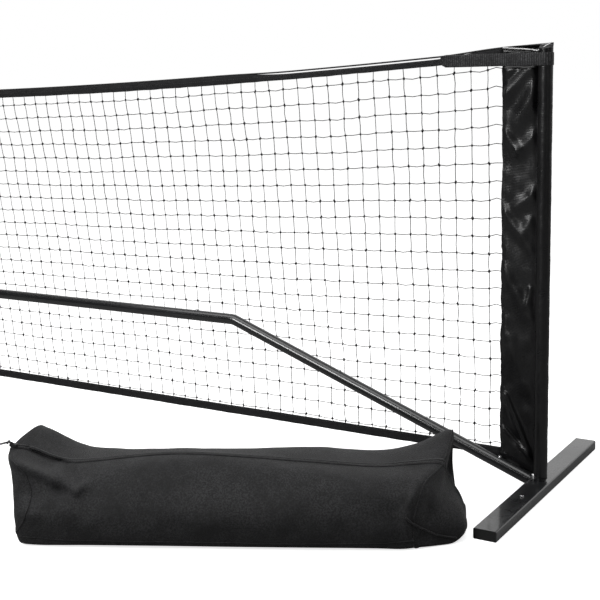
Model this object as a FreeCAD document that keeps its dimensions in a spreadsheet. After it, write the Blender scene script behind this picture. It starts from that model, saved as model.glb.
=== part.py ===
"""Portable pickleball net: a knock-down steel frame, the net that hangs on it, and its carry bag.

Millimetres. The origin is on the ground under the middle of the centre foot, +X runs along the
net towards one end post, +Z is up, and the carry bag lies on the -Y side. The net hangs a little
behind the frame, so that its mesh passes the bars.

The steel frame: each end has a rectangular foot in two halves, a two-piece round post that drops
over a stub, and a chain of round tubes (lower arm, bent arm, three bars) that climbs from the foot
to bar height and meets a tee over the centre foot. Every tube plugs into the next with a reduced
end, and a sprung button holds it.
"""
import FreeCAD, Part
import Sketcher
import math
import os
from FreeCAD import Placement, Rotation, Vector
from types import SimpleNamespace

SIZES = {
    # the net as it stands
    "half_span": 3353.0,            # end post to the centre of the net, 22 ft from post to post
    "end_height": 914.0,            # top of the net at the end posts, 36 in
    "centre_height": 864.0,         # top of the net at the centre, 34 in
    "band_sag": 53.0,               # how far the top band hangs below its chord, midway
    # round steel tube and its plug-in joints
    "tube_od": 25.4,
    "tube_wall": 1.2,
    "plug_clearance": 0.2,          # radial, between a reduced end and the tube it enters
    "plug_length": 60.0,
    "button_setback": 30.0,         # from a tube's open end to its button hole
    # snap buttons and their spring clips
    "button_radius": 4.0,
    "button_proud": 3.0,
    "button_round": 1.5,
    "button_clearance": 0.3,
    "leaf_width": 7.0,
    "leaf_thickness": 0.8,
    "leaf_length": 14.0,
    "leaf_clearance": 0.2,
    "clip_arm": 10.0,
    # feet
    "foot_width": 48.0,
    "foot_height": 22.0,
    "foot_wall": 1.5,
    "foot_corner": 3.0,
    "foot_length": 600.0,
    "foot_seam": 60.0,              # from the post's axis to the seam between the foot's halves
    "tongue_length": 90.0,
    "tongue_root": 20.0,
    "tongue_button": 47.0,          # from the seam to the foot's button
    "end_plug_depth": 14.0,
    "end_plug_inset": 2.0,
    # arms, bars and the centre tee
    "arm_root_height": 20.0,        # the arm's axis where it meets the side of the foot
    "arm_root_gap": 1.2,
    "arm_root_button": 95.0,        # buttons and bend, measured along X from the post's axis
    "arm_joint_button": 486.0,
    "arm_bend": 771.0,
    "arm_bend_radius": 45.0,
    "bar_joint_button": 879.0,
    "bar_height": 298.0,
    "tee_half": 75.0,
    # posts
    "post_stub": 75.0,
    "post_lower_length": 440.0,
    "cap_flange": 1.5,
    "cap_depth": 12.0,
    "cap_round": 1.0,
    "centre_post_od": 19.0,
    "centre_socket": 50.0,
    "centre_socket_wall": 1.5,
    # the net
    "net_plane": 14.2,              # middle of the mesh, behind the posts' axes
    "mesh_thickness": 1.2,
    "mesh_web": 4.0,
    "band_height": 25.0,
    "band_thickness": 3.0,
    "cord_diameter": 3.5,
    "tape_height": 21.0,
    "tape_bottom": 56.0,
    "tape_thickness": 2.0,
    "tape_tail_end": 22.0,          # where the tape's tail ends, measured along X from the post
    "tape_tail_drop": 30.0,
    "sleeve_bore": 28.0,
    "sleeve_wall": 1.0,
    "sleeve_width": 95.0,           # from the post's axis to the sleeve's hem
    "sleeve_panel": 1.6,
    "sleeve_hem_height": 64.0,
    "sleeve_toe_height": 26.0,
    "fabric_gap": 0.3,
    "closure_thickness": 0.8,
    "strap_height": 25.0,
    "strap_bottom": 880.0,
    "strap_thickness": 1.5,
    "strap_reach": 231.0,
    "loop_height": 60.0,
    "loop_tab": 20.0,
    # the carry bag
    "bag_from_post": 768.0,         # its near front corner, inwards from the right post
    "bag_from_net": 733.0,          # and away from the net
    "bag_turn": 26.0,
    "bag_length": 892.0,
    "bag_depth": 190.0,
    "bag_height": 150.0,
    "bag_fabric": 2.0,
    "zip_width": 22.0,
    "zip_thickness": 1.2,
    "slider_length": 16.0,
    "slider_width": 9.0,
    "slider_height": 5.0,
    "pull_length": 22.0,
    "pull_width": 5.0,
    "pull_thickness": 1.2,
    "pull_pin": 2.0,
    "pull_eye": 2.4,
    "pull_droop": 14.0,             # degrees below level, which keeps the tabs clear of the cloth
}

MESH_COLUMNS = 38
MESH_ROWS = 7
BARS_PER_SIDE = 3
RIGHT, LEFT, CENTRE = "right", "left", "centre"
TURN = {RIGHT: 0.0, CENTRE: 0.0, LEFT: 180.0}
MIRROR = {RIGHT: 1, LEFT: -1}

doc = FreeCAD.newDocument("PortableNet")
sheet = doc.addObject("Spreadsheet::Sheet", "Dims")


class Size:
    """A dimension: its value in millimetres or degrees, and the expression that gives it."""

    def __init__(self, value, text):
        self.value = value
        self.text = text

    def __add__(self, other):
        other = as_size(other)
        return Size(self.value + other.value, "(%s + %s)" % (self.text, other.text))

    def __radd__(self, other):
        return as_size(other) + self

    def __sub__(self, other):
        other = as_size(other)
        return Size(self.value - other.value, "(%s - %s)" % (self.text, other.text))

    def __rsub__(self, other):
        return as_size(other) - self

    def __mul__(self, other):
        other = as_size(other)
        return Size(self.value * other.value, "(%s * %s)" % (self.text, other.text))

    def __rmul__(self, other):
        return as_size(other) * self

    def __truediv__(self, other):
        other = as_size(other)
        return Size(self.value / other.value, "(%s / %s)" % (self.text, other.text))

    def __neg__(self):
        return Size(-self.value, "(-1 * %s)" % self.text)


def as_size(number):
    return number if isinstance(number, Size) else Size(float(number), "%g" % number)


def sine(angle):
    return Size(math.sin(math.radians(angle.value)), "sin(%s)" % angle.text)


def cosine(angle):
    return Size(math.cos(math.radians(angle.value)), "cos(%s)" % angle.text)


def root(size):
    return Size(math.sqrt(size.value), "sqrt(%s)" % size.text)


def slope_angle(rise, run):
    ratio = rise / run
    return Size(math.degrees(math.atan(ratio.value)), "atan(%s)" % ratio.text)


for row, (name, value) in enumerate(SIZES.items(), start=1):
    sheet.set("A%d" % row, name.replace("_", " "))
    sheet.set("B%d" % row, "%g" % value)
    sheet.setAlias("B%d" % row, name)
doc.recompute()
d = SimpleNamespace(**{name: Size(sheet.get(name), "Dims." + name) for name in SIZES})

# Sizes worked out from the driving ones.
tube_radius = d.tube_od / 2
tube_bore = tube_radius - d.tube_wall
plug_radius = tube_bore - d.plug_clearance
plug_bore = plug_radius - d.tube_wall
hole_radius = d.button_radius + d.button_clearance
leaf_top = root(plug_bore * plug_bore - d.leaf_width * d.leaf_width / 4) - d.leaf_clearance
foot_half = d.foot_width / 2
foot_axis = d.foot_height / 2
tongue_half_width = foot_half - d.foot_wall - d.plug_clearance
tongue_half_height = foot_axis - d.foot_wall - d.plug_clearance
tongue_leaf_top = tongue_half_height - d.foot_wall - d.leaf_clearance
arm_rise = d.bar_height - d.arm_root_height
arm_run = d.arm_bend - foot_half
arm_angle = slope_angle(arm_rise, arm_run)
arm_lean = slope_angle(arm_run, arm_rise)
centre_bore = d.centre_post_od / 2 - d.tube_wall
post_top = d.end_height - d.closure_thickness - d.fabric_gap - d.cap_flange
centre_top = d.centre_height - d.closure_thickness - d.fabric_gap - d.cap_flange
band_top_drop = d.cord_diameter + d.fabric_gap


def along_arm(out):
    """Distance along the arm's axis, from the side of the foot, of a point that far from the post."""
    return (out - foot_half) / cosine(arm_angle)


# Drawing and feature helpers.

def bind(feature, name, size):
    feature.setExpression(name, as_size(size).text)


def new_body(label):
    body = doc.addObject("PartDesign::Body", label)
    body.Label = label
    return body


def origin_plane(body, role):
    return next(plane for plane in body.Origin.OriginFeatures if plane.Role == role)


def new_sketch(body, role, offset=None):
    sketch = body.newObject("Sketcher::SketchObject", body.Label + "_sketch")
    sketch.AttachmentSupport = [(origin_plane(body, role), "")]
    sketch.MapMode = "FlatFace"
    if offset is not None:
        bind(sketch, "AttachmentOffset.Base.z", offset)
    return sketch


def pin_point(sketch, geometry, point, x, y):
    """Fix a point of the sketch at two sizes from the sketch's origin."""
    for kind, size in (("DistanceX", as_size(x)), ("DistanceY", as_size(y))):
        index = sketch.addConstraint(Sketcher.Constraint(kind, -1, 1, geometry, point, size.value))
        sketch.setExpression("Constraints[%d]" % index, size.text)


def draw_polygon(sketch, points):
    points = [(as_size(x), as_size(y)) for x, y in points]
    ids = []
    for (x0, y0), (x1, y1) in zip(points, points[1:] + points[:1]):
        line = Part.LineSegment(Vector(x0.value, y0.value, 0), Vector(x1.value, y1.value, 0))
        ids.append(sketch.addGeometry(line, False))
    for this, following in zip(ids, ids[1:] + ids[:1]):
        sketch.addConstraint(Sketcher.Constraint("Coincident", this, 2, following, 1))
    for geometry, (x, y) in zip(ids, points):
        pin_point(sketch, geometry, 1, x, y)


def draw_rectangle(sketch, x0, y0, x1, y1):
    draw_polygon(sketch, [(x0, y0), (x1, y0), (x1, y1), (x0, y1)])


def draw_circle(sketch, radius, x=0, y=0):
    radius, x, y = as_size(radius), as_size(x), as_size(y)
    centre = Vector(x.value, y.value, 0)
    circle = sketch.addGeometry(Part.Circle(centre, Vector(0, 0, 1), radius.value), False)
    pin_point(sketch, circle, 3, x, y)
    index = sketch.addConstraint(Sketcher.Constraint("Radius", circle, radius.value))
    sketch.setExpression("Constraints[%d]" % index, radius.text)


def pad(body, sketch, length, reversed_side=False, symmetric=False):
    feature = body.newObject("PartDesign::Pad", body.Label + "_pad")
    feature.Profile = sketch
    feature.Reversed = reversed_side
    if symmetric:
        feature.SideType = "Symmetric"
    bind(feature, "Length", length)
    doc.recompute([body])
    return feature


def pocket(body, sketch, length, reversed_side=False, symmetric=False):
    feature = body.newObject("PartDesign::Pocket", body.Label + "_pocket")
    feature.Profile = sketch
    feature.Reversed = reversed_side
    if symmetric:
        feature.SideType = "Symmetric"
    bind(feature, "Length", length)
    before = body.Shape.Volume
    doc.recompute([body])
    if body.Shape.Volume >= before - 1e-3:
        raise RuntimeError(body.Label + ": a pocket cut nothing")
    return feature


def revolve(body, sketch):
    feature = body.newObject("PartDesign::Revolution", body.Label + "_revolution")
    feature.Profile = sketch
    feature.ReferenceAxis = (sketch, ["V_Axis"])
    feature.Angle = 360.0
    doc.recompute([body])
    return feature


def cylinder(body, radius, height, x=0, z=0, tilt=0, cut=False):
    """A round feature whose axis starts at (x, 0, z) and leans by tilt from +Z towards +X."""
    tilt = as_size(tilt)
    towards = 1 if tilt.value >= 0 else -1
    kind = "SubtractiveCylinder" if cut else "AdditiveCylinder"
    feature = body.newObject("PartDesign::" + kind, body.Label + "_" + kind.lower())
    feature.AttachmentSupport = [(origin_plane(body, "XY_Plane"), "")]
    feature.MapMode = "FlatFace"
    feature.AttachmentOffset = Placement(Vector(), Rotation(Vector(0, towards, 0), abs(tilt.value)))
    bind(feature, "AttachmentOffset.Base.x", x)
    bind(feature, "AttachmentOffset.Base.z", z)
    bind(feature, "AttachmentOffset.Rotation.Angle", towards * tilt)
    bind(feature, "Radius", radius)
    bind(feature, "Height", height)
    doc.recompute([body])
    return feature


def fillet(body, radius, chosen):
    """Round the edges of the body's tip that the test chooses."""
    base = body.Tip
    names = ["Edge%d" % i for i, edge in enumerate(base.Shape.Edges, start=1) if chosen(edge)]
    feature = body.newObject("PartDesign::Fillet", body.Label + "_fillet")
    feature.Base = (base, names)
    bind(feature, "Radius", radius)
    doc.recompute([body])
    return feature


def place(body, x=0, y=0, z=0, tilt=0, turn=0.0):
    """Tilt a body about Y, move it to its place, then turn it about the row's own Z axis."""
    side = Rotation(Vector(0, 0, 1), turn)
    lean = Rotation(Vector(0, 1, 0), as_size(tilt).value)
    body.Placement = Placement(Vector(), side * lean)
    sign = -1 if turn else 1
    bind(body, "Placement.Base.x", sign * as_size(x))
    bind(body, "Placement.Base.y", sign * as_size(y))
    bind(body, "Placement.Base.z", z)
    return body


def solid_feature(label, shape):
    feature = doc.addObject("Part::Feature", label)
    feature.Label = label
    feature.Shape = shape
    return feature


# Round tubes: an open end that takes the last tube's reduced end, and a reduced end of its own.

def tube(label, length, button_hole=None, reduced_end=True):
    body = new_body(label)
    outline = new_sketch(body, "XZ_Plane")
    if reduced_end:
        tip = length + d.plug_length
        draw_polygon(outline, [(tube_bore, 0), (tube_radius, 0), (tube_radius, length), (plug_radius, length),
                               (plug_radius, tip), (plug_bore, tip), (plug_bore, length - d.tube_wall),
                               (tube_bore, length - d.tube_wall * 4)])
    else:
        draw_rectangle(outline, tube_bore, 0, tube_radius, length)
    revolve(body, outline)
    if button_hole is not None:
        cylinder(body, hole_radius, d.tube_od, z=button_hole, tilt=90, cut=True)
    if reduced_end and button_hole is not None:
        cylinder(body, hole_radius, d.tube_od, z=length + d.button_setback, tilt=90, cut=True)
    return body


arm_start = d.arm_root_gap
arm_seam = along_arm(d.arm_joint_button) - d.button_setback
bend_at = along_arm(d.arm_bend)
bar_seam = d.bar_joint_button - d.button_setback
bar_length = (d.half_span - d.tee_half - bar_seam) / BARS_PER_SIDE


def on_arm(distance):
    """X and Z of a point on the arm's axis."""
    return (d.half_span - foot_half - distance * cosine(arm_angle),
            d.arm_root_height + distance * sine(arm_angle))


def make_lower_arm(side):
    root_hole = along_arm(d.arm_root_button) - arm_start
    body = tube("arm_lower_" + side, arm_seam - arm_start, button_hole=root_hole)
    x, z = on_arm(arm_start)
    return place(body, x=x, z=z, tilt=-arm_lean, turn=TURN[side])


def make_bent_arm(side):
    """The arm's upper piece: a straight run, one bend, and a short level run with a reduced end."""
    body = new_body("arm_bent_" + side)
    half_turn = arm_angle / 2
    tangent = d.arm_bend_radius * sine(half_turn) / cosine(half_turn)
    first = bend_at - arm_seam
    level = bar_seam - d.arm_bend
    end_x, end_z = -level * sine(arm_angle), first + level * cosine(arm_angle)
    spine = new_sketch(body, "XZ_Plane")
    turn_start = first - tangent
    turn_end = (-tangent * sine(arm_angle), first + tangent * cosine(arm_angle))
    lower = spine.addGeometry(Part.LineSegment(Vector(0, 0, 0), Vector(0, turn_start.value, 0)), False)
    middle_angle = math.radians(half_turn.value)
    bulge = Vector(d.arm_bend_radius.value * (math.cos(middle_angle) - 1),
                   turn_start.value + d.arm_bend_radius.value * math.sin(middle_angle), 0)
    arc = spine.addGeometry(Part.Arc(Vector(0, turn_start.value, 0), bulge,
                                     Vector(turn_end[0].value, turn_end[1].value, 0)), False)
    upper = spine.addGeometry(Part.LineSegment(Vector(turn_end[0].value, turn_end[1].value, 0),
                                               Vector(end_x.value, end_z.value, 0)), False)
    pin_point(spine, lower, 1, 0, 0)
    pin_point(spine, lower, 2, 0, turn_start)
    pin_point(spine, upper, 1, *turn_end)
    pin_point(spine, upper, 2, end_x, end_z)
    spine.addConstraint(Sketcher.Constraint("Tangent", lower, 2, arc, 1))
    spine.addConstraint(Sketcher.Constraint("Coincident", arc, 2, upper, 1))
    for kind, radius in (("AdditivePipe", tube_radius), ("SubtractivePipe", tube_bore)):
        ring = new_sketch(body, "XY_Plane")
        draw_circle(ring, radius)
        pipe = body.newObject("PartDesign::" + kind, body.Label + "_" + kind.lower())
        pipe.Profile = ring
        pipe.Spine = spine
        doc.recompute([body])
    collar = d.tube_wall * 4
    back_x, back_z = end_x + collar * sine(arm_angle), end_z - collar * cosine(arm_angle)
    cylinder(body, tube_radius - d.tube_wall / 2, collar, x=back_x, z=back_z, tilt=-arm_angle)
    cylinder(body, plug_radius, d.plug_length, x=end_x, z=end_z, tilt=-arm_angle)
    cylinder(body, plug_bore, d.plug_length + collar, x=back_x, z=back_z, tilt=-arm_angle, cut=True)
    cylinder(body, hole_radius, d.tube_od, z=d.button_setback, tilt=90, cut=True)
    reach = level + d.button_setback
    cylinder(body, hole_radius, d.tube_od, x=-reach * sine(arm_angle), z=first + reach * cosine(arm_angle),
             tilt=arm_lean, cut=True)
    x, z = on_arm(arm_seam)
    return place(body, x=x, z=z, tilt=-arm_lean, turn=TURN[side])


def make_bar(name, index, side):
    body = tube("bar_%s_%s" % (name, side), bar_length, button_hole=d.button_setback)
    x = d.half_span - bar_seam - index * bar_length
    return place(body, x=x, z=d.bar_height, tilt=-90, turn=TURN[side])


# Feet: a rear half with the stubs welded to it and a tongue that the front half slides over.

def along_foot(edge):
    ends = [vertex.Point for vertex in edge.Vertexes]
    return len(ends) == 2 and abs(ends[0].y - ends[1].y) > 1.0 and edge.Length > 1.0


def foot_tube(body, front, length):
    """A rectangular tube with rounded corners, from its front end back along +Y."""
    outline = new_sketch(body, "XZ_Plane", front)
    draw_rectangle(outline, -foot_half, 0, foot_half, d.foot_height)
    draw_rectangle(outline, -foot_half + d.foot_wall, d.foot_wall, foot_half - d.foot_wall,
                   d.foot_height - d.foot_wall)
    pad(body, outline, length, reversed_side=True)
    for wall, radius in ((as_size(0), d.foot_corner), (d.foot_wall, d.foot_corner - d.foot_wall)):
        side_face = (foot_half - wall).value
        fillet(body, radius,
               lambda edge: along_foot(edge) and abs(abs(edge.Vertexes[0].X) - side_face) < 0.01)


def tongue_ring(body, front, length, half_width, half_height):
    outline = new_sketch(body, "XZ_Plane", front)
    corner = d.foot_corner - d.foot_wall
    inner_w = tongue_half_width - d.foot_wall
    inner_h = tongue_half_height - d.foot_wall
    low, high = foot_axis - half_height, foot_axis + half_height
    flat = half_width - corner
    draw_polygon(outline, [(-flat, low), (flat, low), (half_width, low + corner), (half_width, high - corner),
                           (flat, high), (-flat, high), (-half_width, high - corner),
                           (-half_width, low + corner)])
    draw_rectangle(outline, -inner_w, foot_axis - inner_h, inner_w, foot_axis + inner_h)
    pad(body, outline, length, reversed_side=True)


def foot_hole(body):
    hole = new_sketch(body, "XY_Plane", foot_axis)
    draw_circle(hole, hole_radius, 0, -(d.foot_seam + d.tongue_button))
    pocket(body, hole, d.foot_height, reversed_side=True)


def make_foot_rear(side):
    body = new_body("foot_rear_" + side)
    foot_tube(body, d.foot_seam, d.foot_seam + d.foot_length / 2)
    weld = 1.0
    tongue_ring(body, d.foot_seam, d.tongue_root, tongue_half_width + d.plug_clearance,
                tongue_half_height + d.plug_clearance)
    tongue_ring(body, d.foot_seam + d.tongue_length, d.tongue_length + weld, tongue_half_width,
                tongue_half_height)
    foot_hole(body)
    stub = new_sketch(body, "XY_Plane", d.foot_height)
    draw_circle(stub, plug_radius)
    draw_circle(stub, plug_bore)
    pad(body, stub, d.post_stub)
    if side != CENTRE:
        weld_depth = d.foot_wall + d.arm_root_gap / 2
        length = along_arm(d.arm_root_button) + d.button_setback
        x = -foot_half + weld_depth * cosine(arm_angle)
        z = d.arm_root_height - weld_depth * sine(arm_angle)
        cylinder(body, plug_radius, length + weld_depth, x=x, z=z, tilt=-arm_lean)
        cylinder(body, plug_bore, length, x=-foot_half - d.arm_root_gap * cosine(arm_angle),
                 z=d.arm_root_height + d.arm_root_gap * sine(arm_angle), tilt=-arm_lean, cut=True)
        button = along_arm(d.arm_root_button)
        cylinder(body, hole_radius, d.tube_od, x=-foot_half - button * cosine(arm_angle),
                 z=d.arm_root_height + button * sine(arm_angle), tilt=arm_angle, cut=True)
    return place_foot(body, side)


def make_foot_front(side):
    body = new_body("foot_front_" + side)
    foot_tube(body, d.foot_length / 2, d.foot_length / 2 - d.foot_seam)
    foot_hole(body)
    return place_foot(body, side)


def place_foot(body, side):
    return place(body, x=0 if side == CENTRE else d.half_span, turn=TURN[side])


def make_foot_plugs():
    """The six plastic plugs set into the ends of the feet."""
    depth = d.end_plug_depth.value
    half_width = (tongue_half_width + d.plug_clearance).value
    half_height = (tongue_half_height + d.plug_clearance).value
    block = Part.makeBox(2 * half_width, depth, 2 * half_height)
    block = block.makeFillet((d.foot_corner - d.foot_wall).value, [e for e in block.Edges if along_foot(e)])
    plugs = []
    for centre in (-d.half_span.value, 0.0, d.half_span.value):
        for front in (-1, 1):
            y = front * (d.foot_length.value / 2 - d.end_plug_inset.value - depth / 2) - depth / 2
            plug = block.copy()
            plug.translate(Vector(centre - half_width, y, foot_axis.value - half_height))
            plugs.append(plug)
    return solid_feature("foot_plugs", Part.makeCompound(plugs))


# The centre tee stands on the centre foot's stub, joins the two rows of bars and holds the centre post.

def make_centre_tee():
    body = new_body("centre_tee")
    across = new_sketch(body, "YZ_Plane")
    draw_circle(across, tube_radius, 0, d.bar_height)
    pad(body, across, d.tee_half * 2, symmetric=True)
    riser = new_sketch(body, "XY_Plane", d.foot_height)
    draw_circle(riser, tube_radius)
    pad(body, riser, d.bar_height - d.foot_height)
    socket = new_sketch(body, "XY_Plane", d.bar_height)
    draw_circle(socket, d.centre_post_od / 2 + d.plug_clearance + d.centre_socket_wall)
    pad(body, socket, tube_radius + d.centre_socket)
    riser_bore = new_sketch(body, "XY_Plane", d.foot_height)
    draw_circle(riser_bore, tube_bore)
    pocket(body, riser_bore, d.bar_height - d.foot_height - tube_radius, reversed_side=True)
    bar_bore = new_sketch(body, "YZ_Plane")
    draw_circle(bar_bore, tube_bore, 0, d.bar_height)
    pocket(body, bar_bore, d.tee_half * 2, symmetric=True)
    post_bore = new_sketch(body, "XY_Plane", d.bar_height + tube_radius)
    draw_circle(post_bore, d.centre_post_od / 2 + d.plug_clearance)
    pocket(body, post_bore, d.centre_socket, reversed_side=True)
    for sign in (1, -1):
        station = sign * (d.tee_half - d.button_setback)
        cylinder(body, hole_radius, d.tube_od, x=station, z=d.bar_height, cut=True)
    return body


# Posts and their plastic caps.

def make_post_lower(side):
    body = tube("post_lower_" + side, d.post_lower_length)
    return place(body, x=d.half_span, z=d.foot_height, turn=TURN[side])


def make_post_upper(side):
    start = d.foot_height + d.post_lower_length
    body = tube("post_upper_" + side, post_top - start, reduced_end=False)
    return place(body, x=d.half_span, z=start, turn=TURN[side])


def make_cap(label, radius, bore, height, x, turn=0.0):
    body = new_body(label)
    outline = new_sketch(body, "XZ_Plane")
    draw_polygon(outline, [(0, -d.cap_depth), (bore, -d.cap_depth), (bore, 0), (radius, 0),
                           (radius, d.cap_flange), (0, d.cap_flange)])
    revolve(body, outline)
    top = d.cap_flange.value - 0.01
    fillet(body, d.cap_round, lambda edge: edge.BoundBox.ZMin > top and edge.Length > 1.0)
    return place(body, x=x, z=height, turn=turn)


def make_centre_post():
    body = new_body("centre_post")
    start = d.bar_height + tube_radius
    outline = new_sketch(body, "XZ_Plane")
    draw_rectangle(outline, centre_bore, 0, d.centre_post_od / 2, centre_top - start)
    revolve(body, outline)
    return place(body, z=start)


# Snap buttons: each rides on the end of a spring clip inside the reduced end.

def make_button(label, leaf_height, surface, x, z, tilt, turn=0.0, y=0, across=False):
    """Button with its axis on local Z: the leaf under the wall, the head through both holes."""
    body = new_body(label)
    leaf = new_sketch(body, "XY_Plane", leaf_height - d.leaf_thickness)
    half_length, half_width = d.leaf_length / 2, d.leaf_width / 2
    if across:
        half_length, half_width = half_width, half_length
    draw_rectangle(leaf, -half_length, -half_width, half_length, half_width)
    pad(body, leaf, d.leaf_thickness)
    head = new_sketch(body, "XY_Plane", leaf_height - d.leaf_thickness)
    draw_circle(head, d.button_radius)
    pad(body, head, surface + d.button_proud - leaf_height + d.leaf_thickness)
    crown = (surface + d.button_proud).value - 0.01
    fillet(body, d.button_round, lambda edge: edge.BoundBox.ZMin > crown and edge.Length > 1.0)
    return place(body, x=x, y=y, z=z, tilt=tilt, turn=turn)


def joint_stations():
    """Name, X, Z and tilt of the buttons on one side, with the tilt of the button's own axis."""
    root_x, root_z = on_arm(along_arm(d.arm_root_button))
    mid_x, mid_z = on_arm(along_arm(d.arm_joint_button))
    stations = [("arm_root", root_x, root_z, arm_angle), ("arm_joint", mid_x, mid_z, arm_angle)]
    for number, name in enumerate(("bar_outer", "bar_middle", "bar_inner")):
        x = d.half_span - d.bar_joint_button - number * bar_length
        stations.append((name, x, d.bar_height, as_size(0)))
    stations.append(("tee", d.tee_half - d.button_setback, d.bar_height, as_size(0)))
    return stations


def clip_shape(leaf_height):
    """A hairpin of spring strip: bend towards -X, one long leg below, a short leg up to the button."""
    outer = leaf_height.value
    width, thick = d.leaf_width.value, d.leaf_thickness.value
    start = -(d.leaf_length.value / 2 + d.fabric_gap.value)
    bend = start - d.clip_arm.value
    ring = Part.makeCylinder(outer, width, Vector(bend, -width / 2, 0), Vector(0, 1, 0))
    ring = ring.cut(Part.makeCylinder(outer - thick, width, Vector(bend, -width / 2, 0), Vector(0, 1, 0)))
    ring = ring.common(Part.makeBox(outer, width, 2 * outer, Vector(bend - outer, -width / 2, -outer)))
    short_leg = Part.makeBox(start - bend, width, thick, Vector(bend, -width / 2, outer - thick))
    long_leg = Part.makeBox(-2 * bend, width, thick, Vector(bend, -width / 2, -outer))
    return ring.fuse([short_leg, long_leg]).removeSplitter()


def make_springs():
    """All the spring clips, one for each button."""
    round_clip = clip_shape(leaf_top)
    flat_clip = clip_shape(tongue_leaf_top)
    clips = []
    for side in (RIGHT, LEFT):
        turn = Placement(Vector(), Rotation(Vector(0, 0, 1), TURN[side]))
        for name, x, z, tilt in joint_stations():
            seat = Placement(Vector(x.value, 0, z.value), Rotation(Vector(0, 1, 0), tilt.value))
            # The clip's bend lies towards the tube that carries the reduced end.
            flip = Placement(Vector(), Rotation(Vector(0, 0, 1), 180))
            clips.append(round_clip.transformed((turn * seat * flip).toMatrix()))
    for side in (RIGHT, LEFT, CENTRE):
        turn = Placement(Vector(), Rotation(Vector(0, 0, 1), TURN[side]))
        x = 0.0 if side == CENTRE else d.half_span.value
        y = -(d.foot_seam + d.tongue_button).value
        seat = Placement(Vector(x, y, foot_axis.value), Rotation(Vector(0, 0, 1), -90))
        clips.append(flat_clip.transformed((turn * seat).toMatrix()))
    return solid_feature("snap_springs", Part.makeCompound(clips))


# The net: everything here is sewn into one piece and hangs from the posts.

mesh_half = d.half_span - d.sleeve_width - d.fabric_gap


class Sag:
    """The arc that the top of the net follows on the +X side, lowered by a drop."""

    def __init__(self, drop):
        self.end = Vector(d.half_span.value, 0, d.end_height.value - drop)
        self.start = Vector(0, 0, d.centre_height.value - drop)
        chord_middle = (self.end + self.start) * 0.5
        self.middle = chord_middle - Vector(0, 0, d.band_sag.value)
        self.circle = Part.Arc(self.start, self.middle, self.end).toShape().Curve

    def height(self, x):
        reach = self.circle.Radius ** 2 - (abs(x) - self.circle.Center.x) ** 2
        return self.circle.Center.z - math.sqrt(reach)

    def point(self, x, y=0.0):
        return Vector(x, y, self.height(x))

    def edge(self, x0, x1, y=0.0):
        """The arc between two places on one side of the centre."""
        return Part.Arc(self.point(x0, y), self.point((x0 + x1) / 2, y), self.point(x1, y)).toShape()


def between(points):
    return [Part.LineSegment(a, b).toShape() for a, b in zip(points, points[1:])]


def net_face(top, bottom_points, y):
    """A face in the net's plane: the sagging arc above, straight lines below."""
    reach = mesh_half.value
    edges = [top.edge(-reach, 0.0, y), top.edge(0.0, reach, y)]
    edges += between([top.point(reach, y)] + bottom_points + [top.point(-reach, y)])
    return Part.Face(Part.Wire(Part.__sortEdges__(edges)))


def make_headband():
    y = (d.net_plane - d.band_thickness / 2).value
    top = Sag(band_top_drop.value)
    low = Sag((band_top_drop + d.band_height).value)
    reach = mesh_half.value
    edges = [curve.edge(*ends, y) for curve in (top, low) for ends in ((-reach, 0.0), (0.0, reach))]
    edges += between([top.point(reach, y), low.point(reach, y)])
    edges += between([top.point(-reach, y), low.point(-reach, y)])
    face = Part.Face(Part.Wire(Part.__sortEdges__(edges)))
    return solid_feature("headband", face.extrude(Vector(0, d.band_thickness.value, 0)))


def make_tension_cord():
    """The cord in the top hem, one length each side of the centre."""
    radius = d.cord_diameter.value / 2
    line = Sag(radius)
    reach = mesh_half.value
    halves = []
    for sign in (1, -1):
        path = Part.Wire(line.edge(0.0, sign * reach, d.net_plane.value))
        start = line.point(0.0, d.net_plane.value)
        tangent = path.Edges[0].tangentAt(path.Edges[0].FirstParameter)
        if abs(path.Edges[0].valueAt(path.Edges[0].FirstParameter).x) > 1.0:
            start = line.point(sign * reach, d.net_plane.value)
        ring = Part.Wire(Part.Circle(start, tangent, radius).toShape())
        rope = path.makePipeShell([ring], True, False)
        corner = Vector(0 if sign > 0 else -reach - 1.0, start.y - 2 * radius, d.centre_height.value - 150.0)
        slab = Part.makeBox(reach + 1.0, 4 * radius, 200.0, corner)
        halves.append(rope.common(slab))
    return solid_feature("tension_cord", Part.makeCompound(halves))


def make_net_mesh():
    """The knotted mesh, as one thin sheet with square gaps whose rows follow the sagging top."""
    y = (d.net_plane - d.mesh_thickness / 2).value
    top = Sag((band_top_drop + d.band_height + d.fabric_gap).value)
    floor = (d.tape_bottom + d.tape_height + d.fabric_gap).value
    reach = mesh_half.value
    face = net_face(top, [Vector(reach, y, floor), Vector(-reach, y, floor)], y)
    web = d.mesh_web.value
    pitch = (2 * reach - web) / MESH_COLUMNS
    holes = []
    for column in range(MESH_COLUMNS):
        x0 = -reach + web + column * pitch
        x1 = x0 + pitch - web
        for row in range(MESH_ROWS):
            corners = []
            for x, share in ((x0, row), (x1, row), (x1, row + 1), (x0, row + 1)):
                step = (top.height(x) - floor - web) / MESH_ROWS
                lift = web if share == row else 0.0
                corners.append(Vector(x, y, floor + lift + share * step))
            holes.append(Part.Wire(Part.makePolygon(corners + corners[:1])))
    sheet_face = Part.Face([face.OuterWire] + holes)
    sheet_face.validate()
    return solid_feature("net_mesh", sheet_face.extrude(Vector(0, d.mesh_thickness.value, 0)))


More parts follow.
